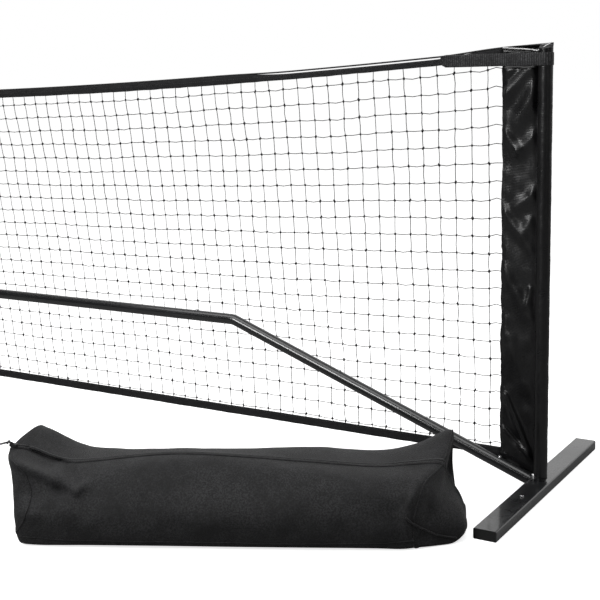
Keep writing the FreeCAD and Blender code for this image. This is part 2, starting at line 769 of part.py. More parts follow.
def make_bottom_tape():
    """The bottom tape, with a tail at each end that drops behind the arm to the foot of the post."""
    body = new_body("bottom_tape")
    outline = new_sketch(body, "XZ_Plane", -(d.net_plane + d.tape_thickness / 2))
    low, high = d.tape_bottom, d.tape_bottom + d.tape_height
    elbow = d.half_span - d.sleeve_width - d.fabric_gap
    tail = d.half_span - d.tape_tail_end
    toe = low - d.tape_tail_drop
    tail_top = toe + (d.sleeve_hem_height - d.sleeve_toe_height) / 4
    tuck = d.sleeve_hem_height - 2
    draw_polygon(outline, [(-elbow, low), (elbow, low), (tail, toe), (tail, tail_top), (elbow, tuck),
                           (elbow, high), (-elbow, high), (-elbow, tuck), (-tail, tail_top), (-tail, toe)])
    pad(body, outline, d.tape_thickness)
    return body


def make_sleeve(side):
    """The vinyl sleeve: a closed pocket round the post and a flat panel that the mesh is sewn to."""
    sign = MIRROR[side]
    body = new_body("sleeve_" + side)
    bore = d.sleeve_bore / 2
    outer = bore + d.sleeve_wall
    toe = d.sleeve_toe_height
    round_part = new_sketch(body, "XY_Plane", toe)
    draw_circle(round_part, outer)
    pad(body, round_part, d.end_height - toe)
    panel = new_sketch(body, "XY_Plane", toe)
    draw_rectangle(panel, -sign * d.sleeve_width, d.net_plane - d.sleeve_panel / 2, 0, outer)
    pad(body, panel, d.end_height - toe)
    inside = new_sketch(body, "XY_Plane", toe)
    draw_circle(inside, bore)
    pocket(body, inside, d.end_height - toe - d.closure_thickness, reversed_side=True)
    slant = new_sketch(body, "XZ_Plane")
    draw_polygon(slant, [(-sign * (d.sleeve_width + 1), toe - 1), (sign * outer, toe - 1),
                         (-sign * (d.sleeve_width + 1), d.sleeve_hem_height)])
    pocket(body, slant, d.tube_od * 4, symmetric=True)
    return place(body, x=sign * d.half_span)


def make_strap(side):
    """Webbing that runs from the headband round the outside of the sleeve and back."""
    sign = MIRROR[side]
    inner = (d.sleeve_bore / 2 + d.sleeve_wall + d.fabric_gap).value
    thick = d.strap_thickness.value
    reach = d.strap_reach.value
    hem_half = d.cord_diameter / 2 + d.fabric_gap
    front = (d.net_plane - hem_half).value
    back = (d.net_plane + hem_half).value
    knee = -d.sleeve_width.value - thick

    def tangent_point(x, y, radius, towards):
        """Where a line from (x, y) touches a circle about the post, on the side given by towards."""
        away = math.hypot(x, y)
        angle = math.atan2(y, x) - towards * math.acos(radius / away)
        return Vector(radius * math.cos(angle), radius * math.sin(angle), 0)

    outer = inner + thick
    start_in = Vector(-reach, front, 0)
    start_out = Vector(-reach, front - thick, 0)
    end_in = Vector(-reach, back, 0)
    end_out = Vector(-reach, back + thick, 0)
    knee_in = Vector(knee, back, 0)
    knee_out = Vector(knee, back + thick, 0)
    touch_in = tangent_point(start_in.x, start_in.y, inner, -1)
    touch_out = tangent_point(start_out.x, start_out.y, outer, -1)
    leave_in = tangent_point(knee, back, inner, 1)
    leave_out = tangent_point(knee, back + thick, outer, 1)
    edges = between([start_out, touch_out])
    edges.append(Part.Arc(touch_out, Vector(outer, 0, 0), leave_out).toShape())
    edges += between([leave_out, knee_out, end_out, end_in, knee_in, leave_in])
    edges.append(Part.Arc(leave_in, Vector(inner, 0, 0), touch_in).toShape())
    edges += between([touch_in, start_in, start_out])
    face = Part.Face(Part.Wire(edges))
    shape = face.extrude(Vector(0, 0, d.strap_height.value))
    if sign < 0:
        shape = shape.mirror(Vector(), Vector(1, 0, 0))
    shape.translate(Vector(sign * d.half_span.value, 0, d.strap_bottom.value))
    return solid_feature("strap_" + side, shape)


def make_centre_loop():
    """A webbing loop on the headband that the top of the centre post slides through."""
    body = new_body("centre_loop")
    bore = d.centre_post_od / 2 + d.sleeve_wall
    base = d.centre_height - d.loop_height
    ring = new_sketch(body, "XY_Plane", base)
    draw_circle(ring, bore + d.sleeve_wall)
    pad(body, ring, d.loop_height)
    tab = new_sketch(body, "XY_Plane", base)
    draw_rectangle(tab, -d.loop_tab / 2, 0, d.loop_tab / 2, d.net_plane - d.band_thickness / 2)
    pad(body, tab, d.loop_height)
    inside = new_sketch(body, "XY_Plane", base)
    draw_circle(inside, bore)
    pocket(body, inside, d.loop_height, reversed_side=True)
    return body


# The carry bag, drawn in its own frame: X along it, Y back from its front edge, Z up.

BAG_STATIONS = (
    # share of the length, then shares of the depth: front, back, and of the height: front top, zip, back top
    (0.00, 0.30, 0.55, 1.08, 1.16, 1.12),
    (0.05, 0.00, 0.97, 1.02, 1.08, 1.24),
    (0.14, -0.03, 1.00, 0.84, 0.93, 1.08),
    (0.36, -0.07, 1.00, 0.93, 1.04, 0.95),
    (0.67, -0.07, 1.00, 0.87, 0.93, 0.97),
    (0.88, -0.03, 0.98, 0.90, 0.94, 1.00),
    (0.945, 0.08, 0.97, 0.88, 0.953, 1.10),
    (0.976, 0.18, 0.97, 0.60, 0.75, 1.17),
    (1.00, 0.28, 0.78, 0.28, 0.34, 0.50),
)
ZIP_STATIONS = 7


def bag_section(station, inset):
    share, front, back, front_top, zip_top, back_top = station
    depth, height = d.bag_depth.value, d.bag_height.value
    x = -0.05 * d.bag_length.value + share * d.bag_length.value
    mid = (front + back) / 2
    corners = [(front, 0.0), (front - 0.03, 0.5 * front_top), (front + 0.08, front_top), (mid, zip_top),
               (back - 0.04, back_top), (back, 0.0)]
    points = [Vector(x, depth * v, height * w) for v, w in corners]
    centre = Vector(x, depth * mid, height * 0.5 * zip_top)
    if inset:
        points = [p + (centre - p).normalize() * inset for p in points]
    return points


def bag_loft(inset):
    sections = [bag_section(station, inset) for station in BAG_STATIONS]
    if inset:
        sections[0] = [p + Vector(inset, 0, 0) for p in sections[0]]
        sections[-1] = [p - Vector(inset, 0, 0) for p in sections[-1]]
    wires = [Part.Wire(Part.makePolygon(points + points[:1])) for points in sections]
    return Part.makeLoft(wires, True, True)


def place_bag_piece(feature, x=0.0, y=0.0, z=0.0, tilt=0.0):
    """Seat a piece given in the bag's frame in the row's frame."""
    bag = Placement(Vector((d.half_span - d.bag_from_post).value, -d.bag_from_net.value, 0),
                    Rotation(Vector(0, 0, 1), d.bag_turn.value))
    feature.Placement = bag * Placement(Vector(x, y, z), Rotation(Vector(0, 1, 0), tilt))
    return feature


def make_bag():
    outer, inner = bag_loft(0.0), bag_loft(d.bag_fabric.value)
    return place_bag_piece(solid_feature("bag_shell", outer.cut(inner)))


def zip_line():
    """The two ends of the zip, at the bag's left tip and near its right end."""
    first, last = BAG_STATIONS[0], BAG_STATIONS[ZIP_STATIONS - 1]
    return bag_section(first, 0.0)[3], bag_section(last, 0.0)[3]


def make_zip_tape():
    """The zip's tape, laid on the top of the bag from section to section."""
    share = d.zip_width.value / d.bag_depth.value
    rise = Vector(0, 0, d.fabric_gap.value)
    thick = Vector(0, 0, d.zip_thickness.value)
    wires = []
    for station in BAG_STATIONS[:ZIP_STATIONS]:
        points = bag_section(station, 0.0)
        crest = points[3] + rise
        front = crest + (points[2] - points[3]) * share
        rear = crest + (points[4] - points[3]) * share
        ring = [front, crest, rear, rear + thick, crest + thick, front + thick, front]
        wires.append(Part.Wire(Part.makePolygon(ring)))
    return place_bag_piece(solid_feature("zip_tape", Part.makeLoft(wires, True, True)))


def slider_seat():
    """Where the middle of the slider's underside sits, and how far its path falls."""
    first, last = zip_line()
    along = last - first
    tilt = math.degrees(math.atan2(-along.z, along.x))
    lift = d.fabric_gap.value * 2 + d.zip_thickness.value
    return first + Vector(d.slider_length.value / 2, 0, lift), tilt


def pull_pin():
    """The pin on the slider's nose that both pulls hang from, in the slider's frame."""
    x = -d.slider_length.value / 2 - d.fabric_gap.value - d.pull_eye.value
    return Vector(x, 0, d.slider_height.value + d.pull_eye.value + d.fabric_gap.value)


def make_slider():
    length, width, height = d.slider_length.value, d.slider_width.value, d.slider_height.value
    body = Part.makeBox(length, width, height, Vector(-length / 2, -width / 2, 0))
    body = body.makeFillet(1.5, [e for e in body.Edges if abs(e.Vertexes[0].Z - e.Vertexes[1].Z) > 1.0])
    pin = pull_pin()
    lug_half = d.pull_thickness.value / 2
    radius = d.pull_pin.value / 2
    reach = lug_half + d.fabric_gap.value * 2 + d.pull_width.value
    lug = Part.makePolygon([Vector(x, -lug_half, z) for x, z in (
        (pin.x - radius, pin.z - radius), (-length / 4, height - 1.0), (length / 4, height - 1.0),
        (-length / 4, pin.z + radius), (pin.x - radius, pin.z + radius), (pin.x - radius, pin.z - radius))])
    lug = Part.Face(lug).extrude(Vector(0, 2 * lug_half, 0))
    axle = Part.makeCylinder(radius, 2 * reach, Vector(pin.x, -reach, pin.z), Vector(0, 1, 0))
    seat, tilt = slider_seat()
    return place_bag_piece(solid_feature("zip_slider", body.fuse([lug, axle])), seat.x, seat.y, seat.z, tilt)


def make_pull(label, sign):
    """A pull tab on one side of the pin, lying out over the end of the bag."""
    length, width, thick = d.pull_length.value, d.pull_width.value, d.pull_thickness.value
    near = thick / 2 + d.fabric_gap.value
    y = near if sign > 0 else -near - width
    eye, radius = d.pull_eye.value, d.pull_pin.value / 2 + d.fabric_gap.value
    ring = Part.makeCylinder(eye, width, Vector(0, y, 0), Vector(0, 1, 0))
    tab = Part.makeBox(length, width, thick, Vector(-length, y, -thick / 2))
    tab.rotate(Vector(0, 0, 0), Vector(0, 1, 0), -d.pull_droop.value)
    hole = Part.makeCylinder(radius, width, Vector(0, y, 0), Vector(0, 1, 0))
    seat, tilt = slider_seat()
    pin = Rotation(Vector(0, 1, 0), tilt).multVec(pull_pin()) + seat
    return place_bag_piece(solid_feature(label, ring.fuse(tab).cut(hole)), pin.x, pin.y, pin.z)


# Build every piece.

pieces = []
for side in (RIGHT, LEFT, CENTRE):
    pieces += [make_foot_rear(side), make_foot_front(side)]
pieces.append(make_foot_plugs())
for side in (RIGHT, LEFT):
    pieces += [make_lower_arm(side), make_bent_arm(side)]
    for number, name in enumerate(("outer", "middle", "inner")):
        pieces.append(make_bar(name, number, side))
    pieces += [make_post_lower(side), make_post_upper(side)]
    pieces.append(make_cap("post_cap_" + side, tube_radius, tube_bore, post_top, d.half_span, TURN[side]))
pieces.append(make_centre_tee())
pieces.append(make_centre_post())
pieces.append(make_cap("centre_post_cap", d.centre_post_od / 2, centre_bore, centre_top, 0))
for side in (RIGHT, LEFT):
    for name, x, z, tilt in joint_stations():
        label = "button_%s_%s" % (name, side)
        pieces.append(make_button(label, leaf_top, tube_radius, x, z, tilt, TURN[side]))
for side in (RIGHT, LEFT, CENTRE):
    x = 0 if side == CENTRE else d.half_span
    pieces.append(make_button("button_foot_" + side, tongue_leaf_top, foot_axis, x, foot_axis, 0, TURN[side],
                              y=-(d.foot_seam + d.tongue_button), across=True))
pieces.append(make_springs())
pieces += [make_net_mesh(), make_headband(), make_tension_cord(), make_bottom_tape(), make_centre_loop()]
for side in (RIGHT, LEFT):
    pieces += [make_sleeve(side), make_strap(side)]
pieces += [make_bag(), make_zip_tape(), make_slider()]
pieces += [make_pull("zip_pull_front", -1), make_pull("zip_pull_rear", 1)]
doc.recompute()

for feature in doc.Objects:
    if "Invalid" in feature.State or "Error" in feature.State:
        raise RuntimeError("%s failed: %s" % (feature.Label, feature.State))
for piece in pieces:
    if piece.Shape.isNull() or not piece.Shape.isValid() or not piece.Shape.Solids:
        raise RuntimeError(piece.Label + " has no valid solid")

os.makedirs("parts", exist_ok=True)
for piece in pieces:
    piece.Shape.exportStep("parts/%s.step" % piece.Label)
print("%d pieces, %d solids" % (len(pieces), sum(len(piece.Shape.Solids) for piece in pieces)))
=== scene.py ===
"""Looks of the portable pickleball net: frame tubes, knotted net, vinyl sleeves, webbing and carry bag."""

import math

import bmesh
import bpy
import numpy as np
from mathutils import Matrix, Vector, noise


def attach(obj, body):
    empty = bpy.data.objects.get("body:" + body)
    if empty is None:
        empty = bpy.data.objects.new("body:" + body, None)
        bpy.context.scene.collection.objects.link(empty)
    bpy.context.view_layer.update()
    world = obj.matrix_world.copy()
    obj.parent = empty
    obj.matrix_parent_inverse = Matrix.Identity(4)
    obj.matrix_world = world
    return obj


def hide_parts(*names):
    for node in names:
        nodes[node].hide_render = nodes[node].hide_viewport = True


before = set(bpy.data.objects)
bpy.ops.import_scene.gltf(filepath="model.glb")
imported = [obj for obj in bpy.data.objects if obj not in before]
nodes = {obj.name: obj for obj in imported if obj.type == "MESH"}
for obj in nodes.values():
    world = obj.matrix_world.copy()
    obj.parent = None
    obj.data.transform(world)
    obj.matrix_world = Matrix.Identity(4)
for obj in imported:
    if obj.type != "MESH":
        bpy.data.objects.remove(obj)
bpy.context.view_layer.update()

# Camera and studio
# The photograph's viewpoint: to the right of the end post, a little above the net, looking left and
# down along it. The studio is a white floor and background under a wide soft light, with a smaller
# one from the front and a weak strip from the side.
YAW, PITCH, ROLL = math.radians(-31.701), math.radians(11.699), math.radians(-1.664)
forward = Vector((math.sin(YAW) * math.cos(PITCH), math.cos(YAW) * math.cos(PITCH), -math.sin(PITCH)))
level_right = Vector((math.cos(YAW), -math.sin(YAW), 0))
level_up = level_right.cross(forward)
right = level_right * math.cos(ROLL) + level_up * math.sin(ROLL)
up = level_up * math.cos(ROLL) - level_right * math.sin(ROLL)


def put(name, data):
    """A new object, linked into the scene."""
    made = bpy.data.objects.new(name, data)
    bpy.context.scene.collection.objects.link(made)
    return made


camera = put("camera", bpy.data.cameras.new("camera"))
FRAME_WIDTH, FOCAL_LENGTH = 600, 1174.44
camera.data.sensor_width = 36
camera.data.lens = FOCAL_LENGTH / FRAME_WIDTH * camera.data.sensor_width
camera.matrix_world = Matrix((right, up, -forward)).transposed().to_4x4()
camera.location = (4.1642, -2.2559, 0.9101)
camera.data.clip_end = 100
bpy.context.scene.camera = camera
bpy.context.scene.view_settings.view_transform = "Standard"


def wire(tree, *links):
    """Link nodes; each link is a node and its output, then a node and its input."""
    for source, output, target, socket in links:
        tree.links.new(source.outputs[output], target.inputs[socket])


def new_node(tree, kind, **settings):
    node = tree.nodes.new(kind)
    for key, value in settings.items():
        if hasattr(node, key):
            setattr(node, key, value)
        else:
            node.inputs[key].default_value = value
    return node


def multiply(tree):
    return new_node(tree, "ShaderNodeMath", operation="MULTIPLY")


def remap(tree, low, high, to_low=0.0, to_high=1.0):
    """Stretch the values between low and high over another span."""
    spans = {"From Min": low, "From Max": high, "To Min": to_low, "To Max": to_high}
    return new_node(tree, "ShaderNodeMapRange", **spans)


def mix_colours(tree, first, second):
    node = new_node(tree, "ShaderNodeMix", data_type="RGBA")
    node.inputs[6].default_value = (*first, 1)
    node.inputs[7].default_value = (*second, 1)
    return node


def new_finish(name, colour, roughness, **sockets):
    """A material with one Principled shader; returns the material, its tree and the shader."""
    material = bpy.data.materials.new(name)
    material.use_nodes = True
    tree = material.node_tree
    shader = next(node for node in tree.nodes if node.type == "BSDF_PRINCIPLED")
    shader.inputs["Base Color"].default_value = (*colour, 1)
    shader.inputs["Roughness"].default_value = roughness
    for key, value in sockets.items():
        shader.inputs[key.replace("_", " ")].default_value = value
    return material, tree, shader


studio = bpy.data.worlds.new("studio")
studio.use_nodes = True
bpy.context.scene.world = studio
sky = studio.node_tree
glow = next(node for node in sky.nodes if node.type == "BACKGROUND")
seen_by = new_node(sky, "ShaderNodeLightPath")
white = new_node(sky, "ShaderNodeBackground", Strength=1.0, Color=(1, 1, 1, 1))
glow.inputs["Color"].default_value = (1, 1, 1, 1)
gaze = new_node(sky, "ShaderNodeTexCoord")
gaze_parts = new_node(sky, "ShaderNodeSeparateXYZ")
backdrop = remap(sky, -0.1, 0.75, 0.05, 0.8)
wire(sky, (gaze, "Generated", gaze_parts, "Vector"), (gaze_parts, "Y", backdrop, "Value"),
     (backdrop, "Result", glow, "Strength"))
both = new_node(sky, "ShaderNodeMixShader")
wire(sky, (seen_by, "Is Camera Ray", both, 0), (glow, "Background", both, 1),
     (white, "Background", both, 2))
wire(sky, (both, "Shader", next(node for node in sky.nodes if node.type == "OUTPUT_WORLD"), "Surface"))

floor_finish, tree, shader = new_finish("studio_floor", (0.9, 0.9, 0.9), 0.7, Emission_Color=(1, 1, 1, 1))
seen_by = new_node(tree, "ShaderNodeLightPath")
lit_from_below = multiply(tree)
FLOOR_GLOW = 0.73
lit_from_below.inputs[1].default_value = FLOOR_GLOW
wire(tree, (seen_by, "Is Camera Ray", lit_from_below, 0),
     (lit_from_below, "Value", shader, "Emission Strength"))
bounce = mix_colours(tree, (0.22, 0.22, 0.22), (0.9, 0.9, 0.9))
wire(tree, (seen_by, "Is Camera Ray", bounce, 0), (bounce, 2, shader, "Base Color"))
floor_mesh = bpy.data.meshes.new("studio_floor")
floor_mesh.from_pydata([(-30, -30, 0), (30, -30, 0), (30, 30, 0), (-30, 30, 0)], [], [(0, 1, 2, 3)])
floor_mesh.materials.append(floor_finish)
floor = put("studio_floor", floor_mesh)


def soft_light(name, place, target, size, power):
    data = bpy.data.lights.new(name, "AREA")
    data.shape = "RECTANGLE"
    data.size, data.size_y = size
    data.energy = power
    light = put(name, data)
    light.location = place
    light.rotation_euler = (Vector(target) - Vector(place)).to_track_quat("-Z", "Y").to_euler()


soft_light("overhead_box", (2.6, -1.0, 3.6), (2.6, 0, 0), (6, 2.5), 95)
soft_light("front_box", (1.7, -3.6, 2.5), (3.2, 0, 0.5), (1.6, 1.1), 80)
soft_light("side_strip", (5.6, -1.3, 1.7), (3.35, 0, 0.5), (0.4, 1.6), 2.5)

# Powder-coated steel
# Every tube, foot and socket is mild steel under a baked charcoal powder coat with a faint orange
# peel, semi-gloss, with fine dust and light rubbing from being pushed together.


def node_group(kind, name, inputs, outputs):
    """An empty node group with named sockets; returns it with its two end nodes."""
    group = bpy.data.node_groups.new(name, kind)
    for socket, socket_kind, value in inputs:
        made = group.interface.new_socket(socket, in_out="INPUT", socket_type="NodeSocket" + socket_kind)
        if value is not None:
            made.default_value = value
    for socket, socket_kind in outputs:
        group.interface.new_socket(socket, in_out="OUTPUT", socket_type="NodeSocket" + socket_kind)
    return group, group.nodes.new("NodeGroupInput"), group.nodes.new("NodeGroupOutput")


rubbed_group, ends_in, ends_out = node_group(
    "ShaderNodeTree", "rubbed_surface",
    [("Vector", "Vector", None), ("Scratch Scale", "Float", 60.0), ("Amount", "Float", 0.3)],
    [("Mask", "Float"), ("Dust", "Float")])
stretch = new_node(rubbed_group, "ShaderNodeMapping", Scale=(0.25, 1, 1))
streaks = new_node(rubbed_group, "ShaderNodeTexNoise", Detail=6.0, Roughness=0.65)
dirt = new_node(rubbed_group, "ShaderNodeTexNoise", Scale=9.0, Detail=5.0)
sharpen = remap(rubbed_group, 0.56, 0.74)
settle = remap(rubbed_group, 0.42, 0.75)
times = multiply(rubbed_group)
times_dust = multiply(rubbed_group)
wire(rubbed_group, (ends_in, "Vector", stretch, "Vector"), (stretch, "Vector", streaks, "Vector"),
     (ends_in, "Scratch Scale", streaks, "Scale"), (ends_in, "Vector", dirt, "Vector"),
     (streaks, "Fac", sharpen, "Value"), (dirt, "Fac", settle, "Value"), (sharpen, "Result", times, 0),
     (ends_in, "Amount", times, 1), (settle, "Result", times_dust, 0), (ends_in, "Amount", times_dust, 1),
     (times, "Value", ends_out, "Mask"), (times_dust, "Value", ends_out, "Dust"))


def worn_finish(name, colour, worn_colour, roughness, grain, depth, amount, **sockets):
    """A moulded or coated finish: rubbed patches change its colour and gloss, grain gives its bump."""
    material, tree, shader = new_finish(name, colour, roughness, **sockets)
    place = new_node(tree, "ShaderNodeTexCoord")
    rub = new_node(tree, "ShaderNodeGroup", node_tree=rubbed_group, Amount=amount)
    tint = mix_colours(tree, colour, worn_colour)
    gloss = remap(tree, 0.0, 1.0, roughness, min(roughness + 0.3, 1))
    peel = new_node(tree, "ShaderNodeTexNoise", Scale=grain, Detail=2.0)
    bump = new_node(tree, "ShaderNodeBump", Strength=depth, Distance=0.0006)
    wire(tree, (place, "Object", rub, "Vector"), (place, "Object", peel, "Vector"), (rub, "Mask", tint, 0),
         (tint, 2, shader, "Base Color"), (rub, "Dust", gloss, "Value"),
         (gloss, "Result", shader, "Roughness"), (peel, "Fac", bump, "Height"),
         (bump, "Normal", shader, "Normal"))
    return material


powder_coat = worn_finish("powder_coat", (0.011, 0.0115, 0.0125), (0.04, 0.041, 0.043), 0.24, 700, 0.4,
                          0.45, Coat_Weight=0.8, Coat_Roughness=0.1)
moulded_plastic = worn_finish("moulded_plastic", (0.005, 0.005, 0.005), (0.02, 0.02, 0.02), 0.5, 1500,
                              0.3, 0.3)
bright_plate = worn_finish("bright_plate", (0.82, 0.82, 0.83), (0.5, 0.5, 0.5), 0.12, 700, 0.08,
                           0.4, Metallic=1.0)
spring_strip = worn_finish("spring_strip", (0.3, 0.3, 0.31), (0.18, 0.17, 0.16), 0.35, 500, 0.1,
                           0.5, Metallic=1.0)
black_enamel = worn_finish("black_enamel", (0.015, 0.015, 0.016), (0.2, 0.2, 0.2), 0.3, 1200, 0.1, 0.35)


def dress(node, material):
    mesh = nodes[node].data
    mesh.materials.clear()
    mesh.materials.append(material)


SIDES = {"right": 1, "left": -1}
for side in ("right", "left", "centre"):
    dress("foot_rear_" + side, powder_coat)
    dress("foot_front_" + side, powder_coat)
    dress("button_foot_" + side, bright_plate)
for side in SIDES:
    for tube in ("arm_lower", "arm_bent", "bar_outer", "bar_middle", "bar_inner", "post_lower",
                 "post_upper"):
        dress("%s_%s" % (tube, side), powder_coat)
    for joint in ("arm_root", "arm_joint", "bar_outer", "bar_middle", "bar_inner", "tee"):
        dress("button_%s_%s" % (joint, side), bright_plate)
    dress("post_cap_" + side, moulded_plastic)
dress("centre_tee", powder_coat)
dress("centre_post", powder_coat)
dress("centre_post_cap", moulded_plastic)
dress("foot_plugs", moulded_plastic)
dress("snap_springs", spring_strip)

# Net twine
# Knotted black polyethylene twine in 38 mm squares, 22 rows deep, hung from the headband and sewn
# to the sleeves. Each crossing is a small hard knot, and the slack between knots is never quite even.
HALF_SPAN = 3.353
END_HEIGHT, CENTRE_HEIGHT, BAND_SAG = 0.914, 0.864, 0.053
NET_Y = 0.0142
HEM = 0.095
MESH = 0.038
ROWS = 22
FIRST_COLUMN = 0.127
BOTTOM_ROW = 0.0816
TOP_ROW_DROP = 0.033
TAPE_TOP = 0.077


def from_post(x):
    return HALF_SPAN - abs(x)


def top_edge(x):
    """Height of the net's top edge, which hangs between the posts and the centre."""
    t = from_post(x) / HALF_SPAN
    return END_HEIGHT - (END_HEIGHT - CENTRE_HEIGHT) * t - 4 * BAND_SAG * t * (1 - t)


def ease(low, high, value):
    """A smooth step from 0 at low to 1 at high, either way round."""
    t = min(max((value - low) / (high - low), 0), 1)
    return t * t * (3 - 2 * t)


def lean(x, row):
    """The lower rows are drawn towards the posts."""
    out = from_post(x)
    return math.copysign(0.075 * row * MESH * out * (1 - ease(1.7, 3.3, out)), x)


def waver(x, z, scale, seed):
    return noise.noise(Vector((x * scale, seed * 7.3, z * scale)))


def net_point(x, row, loose=0.0):
    """Where the twine passes at a column and a row; whole rows are knots."""
    top = top_edge(x) - TOP_ROW_DROP
    z = top + (BOTTOM_ROW - top) * row / (ROWS - 1)
    inside = min(1.0, max(0.0, min(row, ROWS - 1 - row) / 4), max(0.0, (from_post(x) - HEM) / 0.2))
    away = 0.0008 + inside * 0.006 * (1 + waver(x, z, 3.1, 3))
    return Vector((x + lean(x, row) + 0.0035 * waver(x, z, 9, 1) + loose * 0.003 * waver(x, z, 60, 5),
                   NET_Y + away,
                   z + 0.0035 * waver(x, z, 7, 2) - loose * 0.0016 + loose * 0.002 * waver(x, z, 50, 6)))


twine, tree, shader = new_finish("net_twine", (0.012, 0.012, 0.013), 0.6)
place = new_node(tree, "ShaderNodeTexCoord")
lay = new_node(tree, "ShaderNodeTexWave", bands_direction="DIAGONAL", Scale=420.0, Distortion=1.5)
bump = new_node(tree, "ShaderNodeBump", Strength=0.5, Distance=0.0004)
fuzz = new_node(tree, "ShaderNodeTexNoise", Scale=180.0, Detail=3.0)
shade = mix_colours(tree, (0.006, 0.006, 0.007), (0.025, 0.025, 0.026))
wire(tree, (place, "Object", lay, "Vector"), (place, "Object", fuzz, "Vector"), (fuzz, "Fac", shade, 0),
     (shade, 2, shader, "Base Color"), (lay, "Fac", bump, "Height"), (bump, "Normal", shader, "Normal"))


def geometry_tree(name, sockets):
    geometry = [("Geometry", "Geometry", None)]
    return node_group("GeometryNodeTree", name, geometry + sockets, [("Geometry", "Geometry")])


def end_tree(tree, source, output, ends_in, ends_out):
    """Every tree ends in real geometry with its material."""
    real = tree.nodes.new("GeometryNodeRealizeInstances")
    round_off = tree.nodes.new("GeometryNodeSetShadeSmooth")
    coat = tree.nodes.new("GeometryNodeSetMaterial")
    wire(tree, (source, output, real, "Geometry"), (real, "Geometry", round_off, "Geometry"),
         (round_off, "Geometry", coat, "Geometry"), (ends_in, "Material", coat, "Material"),
         (coat, "Geometry", ends_out, "Geometry"))


def grow(name, points, edges, tree, values, marks=None):
    """Run a tree over lines of points and keep what it makes as a plain mesh."""
    guide = bpy.data.meshes.new(name + "_lines")
    guide.from_pydata(points, edges, [])
    if marks is not None:
        knots = guide.attributes.new("knot", "FLOAT", "POINT")
        knots.data.foreach_set("value", marks)
    guide_object = put(name + "_lines", guide)
    modifier = guide_object.modifiers.new("tree", "NODES")
    modifier.node_group = tree
    identifiers = {item.name: item.identifier for item in tree.interface.items_tree
                   if item.in_out == "INPUT"}
    for key, value in values.items():
        modifier[identifiers[key]] = value
    graph = bpy.context.evaluated_depsgraph_get()
    made = bpy.data.meshes.new_from_object(guide_object.evaluated_get(graph))
    bpy.data.objects.remove(guide_object)
    made.name = name
    return put(name, made)


net_tree, ends_in, ends_out = geometry_tree("twine_and_knots", [
    ("Twine Radius", "Float", 0.00082), ("Knot Radius", "Float", 0.0034), ("Material", "Material", None)])
lines = new_node(net_tree, "GeometryNodeMeshToCurve")
ring = new_node(net_tree, "GeometryNodeCurvePrimitiveCircle", Resolution=4)
strands = new_node(net_tree, "GeometryNodeCurveToMesh")
is_knot = new_node(net_tree, "GeometryNodeInputNamedAttribute", data_type="FLOAT", Name="knot")
crossings = new_node(net_tree, "GeometryNodeMeshToPoints")
lump = new_node(net_tree, "GeometryNodeMeshIcoSphere", Subdivisions=1)
turn = new_node(net_tree, "FunctionNodeRandomValue", data_type="FLOAT_VECTOR", Max=(0.5, 0.5, 6.28),
                Seed=11)
size = new_node(net_tree, "FunctionNodeRandomValue", data_type="FLOAT_VECTOR", Min=(0.6, 0.6, 0.8),
                Max=(0.95, 0.9, 1.4), Seed=12)
knots = new_node(net_tree, "GeometryNodeInstanceOnPoints")
together = new_node(net_tree, "GeometryNodeJoinGeometry")
wire(net_tree, (ends_in, "Geometry", lines, "Mesh"), (ends_in, "Twine Radius", ring, "Radius"),
     (lines, "Curve", strands, "Curve"), (ring, "Curve", strands, "Profile Curve"),
     (ends_in, "Geometry", crossings, "Mesh"), (is_knot, 0, crossings, "Selection"),
     (ends_in, "Knot Radius", lump, "Radius"), (crossings, "Points", knots, "Points"),
     (lump, "Mesh", knots, "Instance"), (turn, 0, knots, "Rotation"), (size, 0, knots, "Scale"),
     (knots, "Instances", together, 0), (strands, "Mesh", together, 0))
end_tree(net_tree, together, "Geometry", ends_in, ends_out)

span = 2 * (HALF_SPAN - FIRST_COLUMN)
cells = round(span / MESH)
columns = [-span / 2 + span * i / cells for i in range(cells + 1)]
PANELS = 4
for panel in range(PANELS):
    first, last = cells * panel // PANELS, cells * (panel + 1) // PANELS
    points, edges, marks = [], [], []

    def add(point, knot=0.0):
        points.append(point)
        marks.append(knot)
        return len(points) - 1

    lattice = {}
    for column in range(first, last + 1):
        x = columns[column]
        own = column > first or panel == 0
        for row in range(ROWS):
            lattice[column, row] = add(net_point(x, row), 1.0 if own else 0.0)
        if own:
            for row in range(ROWS - 1):
                middle = add(net_point(x, row + 0.5, 1.0))
                edges += [(lattice[column, row], middle), (middle, lattice[column, row + 1])]
            high, low = net_point(x, 0), net_point(x, ROWS - 1)
            high.z, high.y = top_edge(x) - 0.011, NET_Y
            low.z, low.y = TAPE_TOP - 0.004, NET_Y
            high.x += 0.004 * waver(x, 1, 40, 9)
            low.x += 0.006 * waver(x, 0, 40, 8)
            edges += [(add(high), lattice[column, 0]), (lattice[column, ROWS - 1], add(low))]
    for column in range(first, last):
        x = (columns[column] + columns[column + 1]) / 2
        for row in range(ROWS):
            middle = add(net_point(x, row, 1.0))
            edges += [(lattice[column, row], middle), (middle, lattice[column + 1, row])]
    for column, at_end in ((0, panel == 0), (cells, panel == PANELS - 1)):
        if at_end:
            out = math.copysign(1, columns[column])
            for row in range(ROWS):
                knot = points[lattice[column, row]]
                hem = Vector((out * (HALF_SPAN - HEM + 0.004), NET_Y, knot.z + 0.002))
                half = (knot + hem) / 2
                half.z += 0.003 + 0.004 * waver(out, knot.z, 20, 4)
                middle = add(half)
                edges += [(lattice[column, row], middle), (middle, add(hem))]
    piece = grow("net_panel_%d" % (panel + 1), points, edges, net_tree, {"Material": twine}, marks)
    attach(piece, "net")
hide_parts("net_mesh")

# Headband and bottom tape
# Black polyester webbing folded over the net's top cord and its bottom edge, and sewn along both
# sides. It is finely ribbed, soft at the edges, and a little wavy where the net pulls at it.


